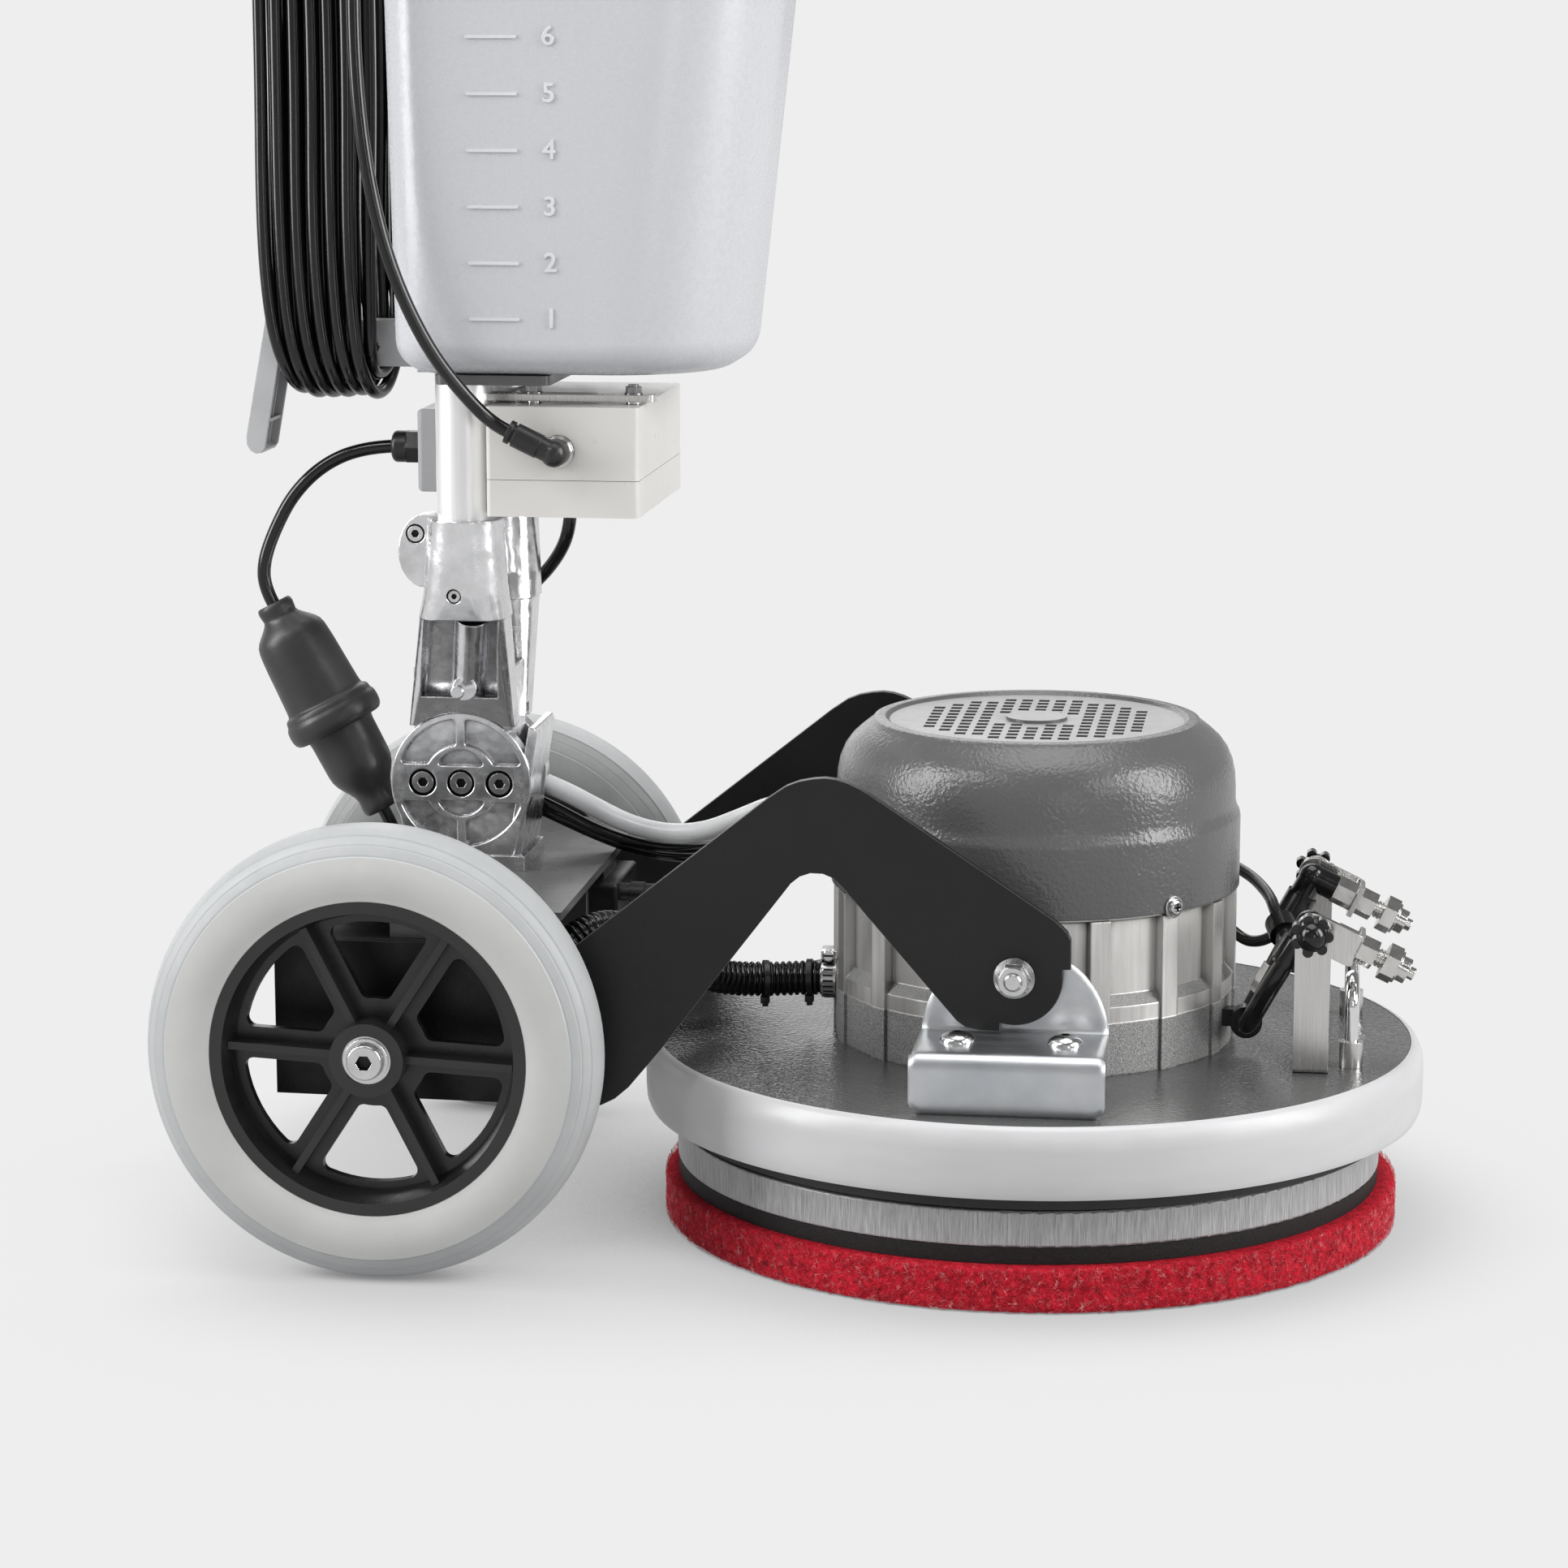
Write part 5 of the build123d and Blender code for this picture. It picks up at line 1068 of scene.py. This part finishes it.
# ------------------------------------------------------------------ conduit clamp and cable ties at the motor
def clamp_and_ties():
    b = Build()
    p0 = mm(-121.5, 0, 136)
    ax = Vector((-1, 0, 0))
    b.lathe([(0.0104, -0.0045), (0.0119, -0.0045), (0.0119, 0.0045), (0.0104, 0.0045)], p0, ax, 40)
    # worm housing and screw on top, across the conduit
    b.block(p0 + mm(0, 0, 15.0), (0, 1, 0), (0, 0, 1), (1, 0, 0), 0.0062, 0.0034, 0.0047, 0, 0.0012)
    b.lathe([(0, 0), (0.0032, 0), (0.0036, 0.0008), (0.0036, 0.0030), (0.0030, 0.0036), (0.0, 0.0036)], p0 + mm(0, -6.2, 15.2), (0, -1, 0), 20, 0)
    b.block(p0 + mm(0, -9.9, 15.2), (1, 0, 0), (0, 0, 1), (0, 1, 0), 0.0030, 0.0004, 0.0002, 1)
    # worm slots pressed into the band
    for k in range(20):
        a = math.radians(112 + 16.4 * k)
        r = Vector((0, math.cos(a), math.sin(a)))
        b.block(p0 + r * 0.0119, (1, 0, 0), (0, math.sin(a), -math.cos(a)), r, 0.0030, 0.0006, 0.0002, 1)
    # screw slot and worm slots painted near black: painted shade
    o = b.done("conduit_clamp", ["steel_screws", "socket_dark"])
    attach(o, "deck")
    for i, x in enumerate((-0.1335, -0.1600)):
        s = stations(conduit_line)
        d = -0.101 - x
        p, t = at(conduit_line, s, d)
        b = Build()
        b.lathe([(0.0100, -0.0017), (0.0113, -0.0017), (0.0113, 0.0017), (0.0100, 0.0017)], p, t, 36)
        b.block(p + mm(0, -3.0, -11.6), t, (0, 1, 0), (0, 0, 1), 0.0026, 0.0026, 0.0022, 0, 0.0006)
        b.block(p + mm(0.2, -3.0, -14.2), t, (0, 1, 0), (0.1, 0, 1), 0.0018, 0.0006, 0.0020, 0, 0.0002)
        o = b.done("conduit_tie_%d" % (i + 1), "black_plastic")
        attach(o, "deck")


clamp_and_ties()


# ------------------------------------------------------------------ raised litre scale on the tank
def tank_marks():
    me = NODES["tank"].data
    tree = BVHTree.FromPolygons([v.co for v in me.vertices], [tuple(p.vertices) for p in me.polygons])

    def skin(x, z):
        hit = tree.ray_cast(Vector((x, -0.4, z)), Vector((0, 1, 0)))[0]
        return hit.y if hit else -0.1

    rise = 0.0010
    verts, faces = [], []

    def slab(outline):
        k = len(verts)
        n = len(outline)
        for x, z in outline:
            verts.append((x, skin(x, z) - rise, z))
        for x, z in outline:
            verts.append((x, skin(x, z) + 0.0006, z))
        faces.append(tuple(range(k + n - 1, k - 1, -1)))
        faces.append(tuple(range(k + n, k + 2 * n)))
        for i in range(n):
            j = (i + 1) % n
            faces.append((k + i, k + j, k + n + j, k + n + i))

    for n in range(1, 10):
        z = 0.5327 + 0.0314 * (n - 1)
        slab([(-0.316, z - 0.0006), (-0.3155, z - 0.0009), (-0.2875, z - 0.0009), (-0.287, z - 0.0006), (-0.287, z + 0.0006), (-0.2875, z + 0.0009), (-0.3155, z + 0.0009), (-0.316, z + 0.0006)])
    # scale lines and digits in a paler look: painted highlight
    lines = put("tank_scale_lines", verts, faces, "tank_mark", 30)
    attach(lines, "handle")
    for n in range(1, 10):
        z = 0.5327 + 0.0314 * (n - 1)
        cu = bpy.data.curves.new("digit", "FONT")
        cu.body = str(n)
        cu.size = 0.0150
        cu.extrude = 0.0011
        cu.bevel_depth = 0.0002
        cu.resolution_u = 6
        cu.align_x, cu.align_y = "CENTER", "CENTER"
        t = bpy.data.objects.new("digit", cu)
        SCENE.collection.objects.link(t)
        bpy.context.view_layer.update()
        m = bpy.data.meshes.new_from_object(t)
        bpy.data.objects.remove(t)
        m.transform(Matrix.Rotation(math.pi / 2, 4, "X"))
        for v in m.vertices:
            x, z2 = -0.2690 + v.co.x, z + v.co.z
            v.co = (x, skin(x, z2) + v.co.y + 0.0003, z2)
        m.materials.clear()
        m.materials.append(LOOKS["tank_mark"])
        o = bpy.data.objects.new("tank_digit_%d" % n, m)
        SCENE.collection.objects.link(o)
        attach(o, "handle")


tank_marks()


# ------------------------------------------------------------------ stage: floor, world, lights
def stage():
    SCENE.view_settings.view_transform = "Standard"
    SCENE.view_settings.look = "None"
    SCENE.view_settings.exposure = 0.0
    SCENE.view_settings.gamma = 1.0
    pale = 0.855
    w = bpy.data.worlds.new("studio")
    SCENE.world = w
    w.use_nodes = True
    t = w.node_tree
    t.nodes.clear()
    out = t.nodes.new("ShaderNodeOutputWorld")
    mix = t.nodes.new("ShaderNodeMixShader")
    lp = t.nodes.new("ShaderNodeLightPath")
    a = t.nodes.new("ShaderNodeBackground")
    b = t.nodes.new("ShaderNodeBackground")
    # dim room, with the lit backdrop behind the machine
    tc = t.nodes.new("ShaderNodeTexCoord")
    sp = t.nodes.new("ShaderNodeSeparateXYZ")
    t.links.new(tc.outputs["Generated"], sp.inputs["Vector"])

    def span(src, x0, x1, y0, y1):
        nd = t.nodes.new("ShaderNodeMapRange")
        nd.interpolation_type = "SMOOTHSTEP"
        t.links.new(src, nd.inputs["Value"])
        for key, v in (("From Min", x0), ("From Max", x1), ("To Min", y0), ("To Max", y1)):
            nd.inputs[key].default_value = v
        return nd.outputs["Result"]

    mul = t.nodes.new("ShaderNodeMath")
    mul.operation = "MULTIPLY"
    t.links.new(span(sp.outputs[1], 0.1, 0.9, 0.0, 1.0), mul.inputs[0])
    t.links.new(span(sp.outputs[2], 0.05, 0.75, 1.0, 0.0), mul.inputs[1])
    side = t.nodes.new("ShaderNodeMath")
    side.operation = "MULTIPLY"
    t.links.new(mul.outputs[0], side.inputs[0])
    t.links.new(span(sp.outputs[0], -0.16, 0.0, 1.0, 0.25), side.inputs[1])
    front = t.nodes.new("ShaderNodeMath")
    front.operation = "MULTIPLY"
    t.links.new(span(sp.outputs[1], -0.85, -0.25, 1.0, 0.0), front.inputs[0])
    t.links.new(span(sp.outputs[2], 0.05, 0.55, 1.0, 0.0), front.inputs[1])
    both = t.nodes.new("ShaderNodeMath")
    both.operation = "ADD"
    t.links.new(span(side.outputs[0], 0.0, 1.0, 0.18, 1.35), both.inputs[0])
    t.links.new(span(front.outputs[0], 0.0, 1.0, 0.0, 0.20), both.inputs[1])
    t.links.new(both.outputs[0], a.inputs["Color"])
    b.inputs["Color"].default_value = (pale, pale, pale, 1)
    t.links.new(lp.outputs["Is Camera Ray"], mix.inputs["Fac"])
    t.links.new(a.outputs[0], mix.inputs[1])
    t.links.new(b.outputs[0], mix.inputs[2])
    t.links.new(mix.outputs[0], out.inputs["Surface"])

    me = bpy.data.meshes.new("floor")
    s = 14.0
    me.from_pydata([(-s, -s, 0), (s, -s, 0), (s, s, 0), (-s, s, 0)], [], [(0, 1, 2, 3)])
    floor = bpy.data.objects.new("floor", me)
    SCENE.collection.objects.link(floor)
    floor.location.z = -0.0004
    m = bpy.data.materials.new("floor_pale")
    m.use_nodes = True
    n = m.node_tree
    n.nodes.clear()
    out = n.nodes.new("ShaderNodeOutputMaterial")
    em = n.nodes.new("ShaderNodeEmission")
    # floor glows an even pale grey, darkened by ambient occlusion near the machine: painted contact shadow
    ao = n.nodes.new("ShaderNodeAmbientOcclusion")
    ao.samples = 16
    ao.inputs["Distance"].default_value = 0.30
    rp = n.nodes.new("ShaderNodeValToRGB")
    rp.color_ramp.interpolation = "EASE"
    e = rp.color_ramp.elements
    e[0].position, e[0].color = 0.0, (0.20, 0.20, 0.205, 1)
    e[1].position, e[1].color = 0.92, (pale, pale, pale, 1)
    mid = e.new(0.45)
    mid.color = (0.60, 0.60, 0.605, 1)
    n.links.new(ao.outputs["AO"], rp.inputs["Fac"])
    n.links.new(rp.outputs["Color"], em.inputs["Color"])
    flp = n.nodes.new("ShaderNodeLightPath")
    mr = n.nodes.new("ShaderNodeMapRange")
    mr.inputs["To Min"].default_value, mr.inputs["To Max"].default_value = 0.84, 1.0
    n.links.new(flp.outputs["Is Camera Ray"], mr.inputs["Value"])
    n.links.new(mr.outputs["Result"], em.inputs["Strength"])
    n.links.new(em.outputs[0], out.inputs["Surface"])
    me.materials.append(m)

    def area(name, loc, target, sx, sy, power, color=(1, 1, 1)):
        d = bpy.data.lights.new(name, "AREA")
        d.shape = "RECTANGLE"
        d.size, d.size_y = sx, sy
        d.energy = power
        d.color = color
        o = bpy.data.objects.new(name, d)
        SCENE.collection.objects.link(o)
        o.location = loc
        o.rotation_euler = (Vector(target) - Vector(loc)).to_track_quat("-Z", "Y").to_euler()
        o.visible_camera = False
        return o

    area("top", (0.0, 0.1, 3.2), (-0.1, 0, 0.3), 2.6, 2.2, 54)
    area("left", (-2.6, -1.0, 1.5), (-0.2, 0, 0.4), 1.2, 2.4, 84)
    area("right", (2.7, -0.5, 1.5), (-0.1, 0, 0.4), 1.2, 2.4, 90)
    area("front", (0.3, -4.2, 2.2), (-0.1, 0, 0.3), 3.0, 1.6, 4)
    area("back", (-0.6, 3.0, 2.0), (-0.1, 0, 0.4), 2.6, 1.2, 18)
    area("key", (-1.15, -1.35, 2.1), (-0.05, 0, 0.25), 0.55, 0.55, 8)
    area("strip", (1.7, -1.5, 1.5), (0.0, 0, 0.2), 0.22, 1.2, 7)
    area("band", (0.95, -2.2, 0.66), (-0.2, 0, 0.66), 0.16, 0.62, 2.2)


stage()
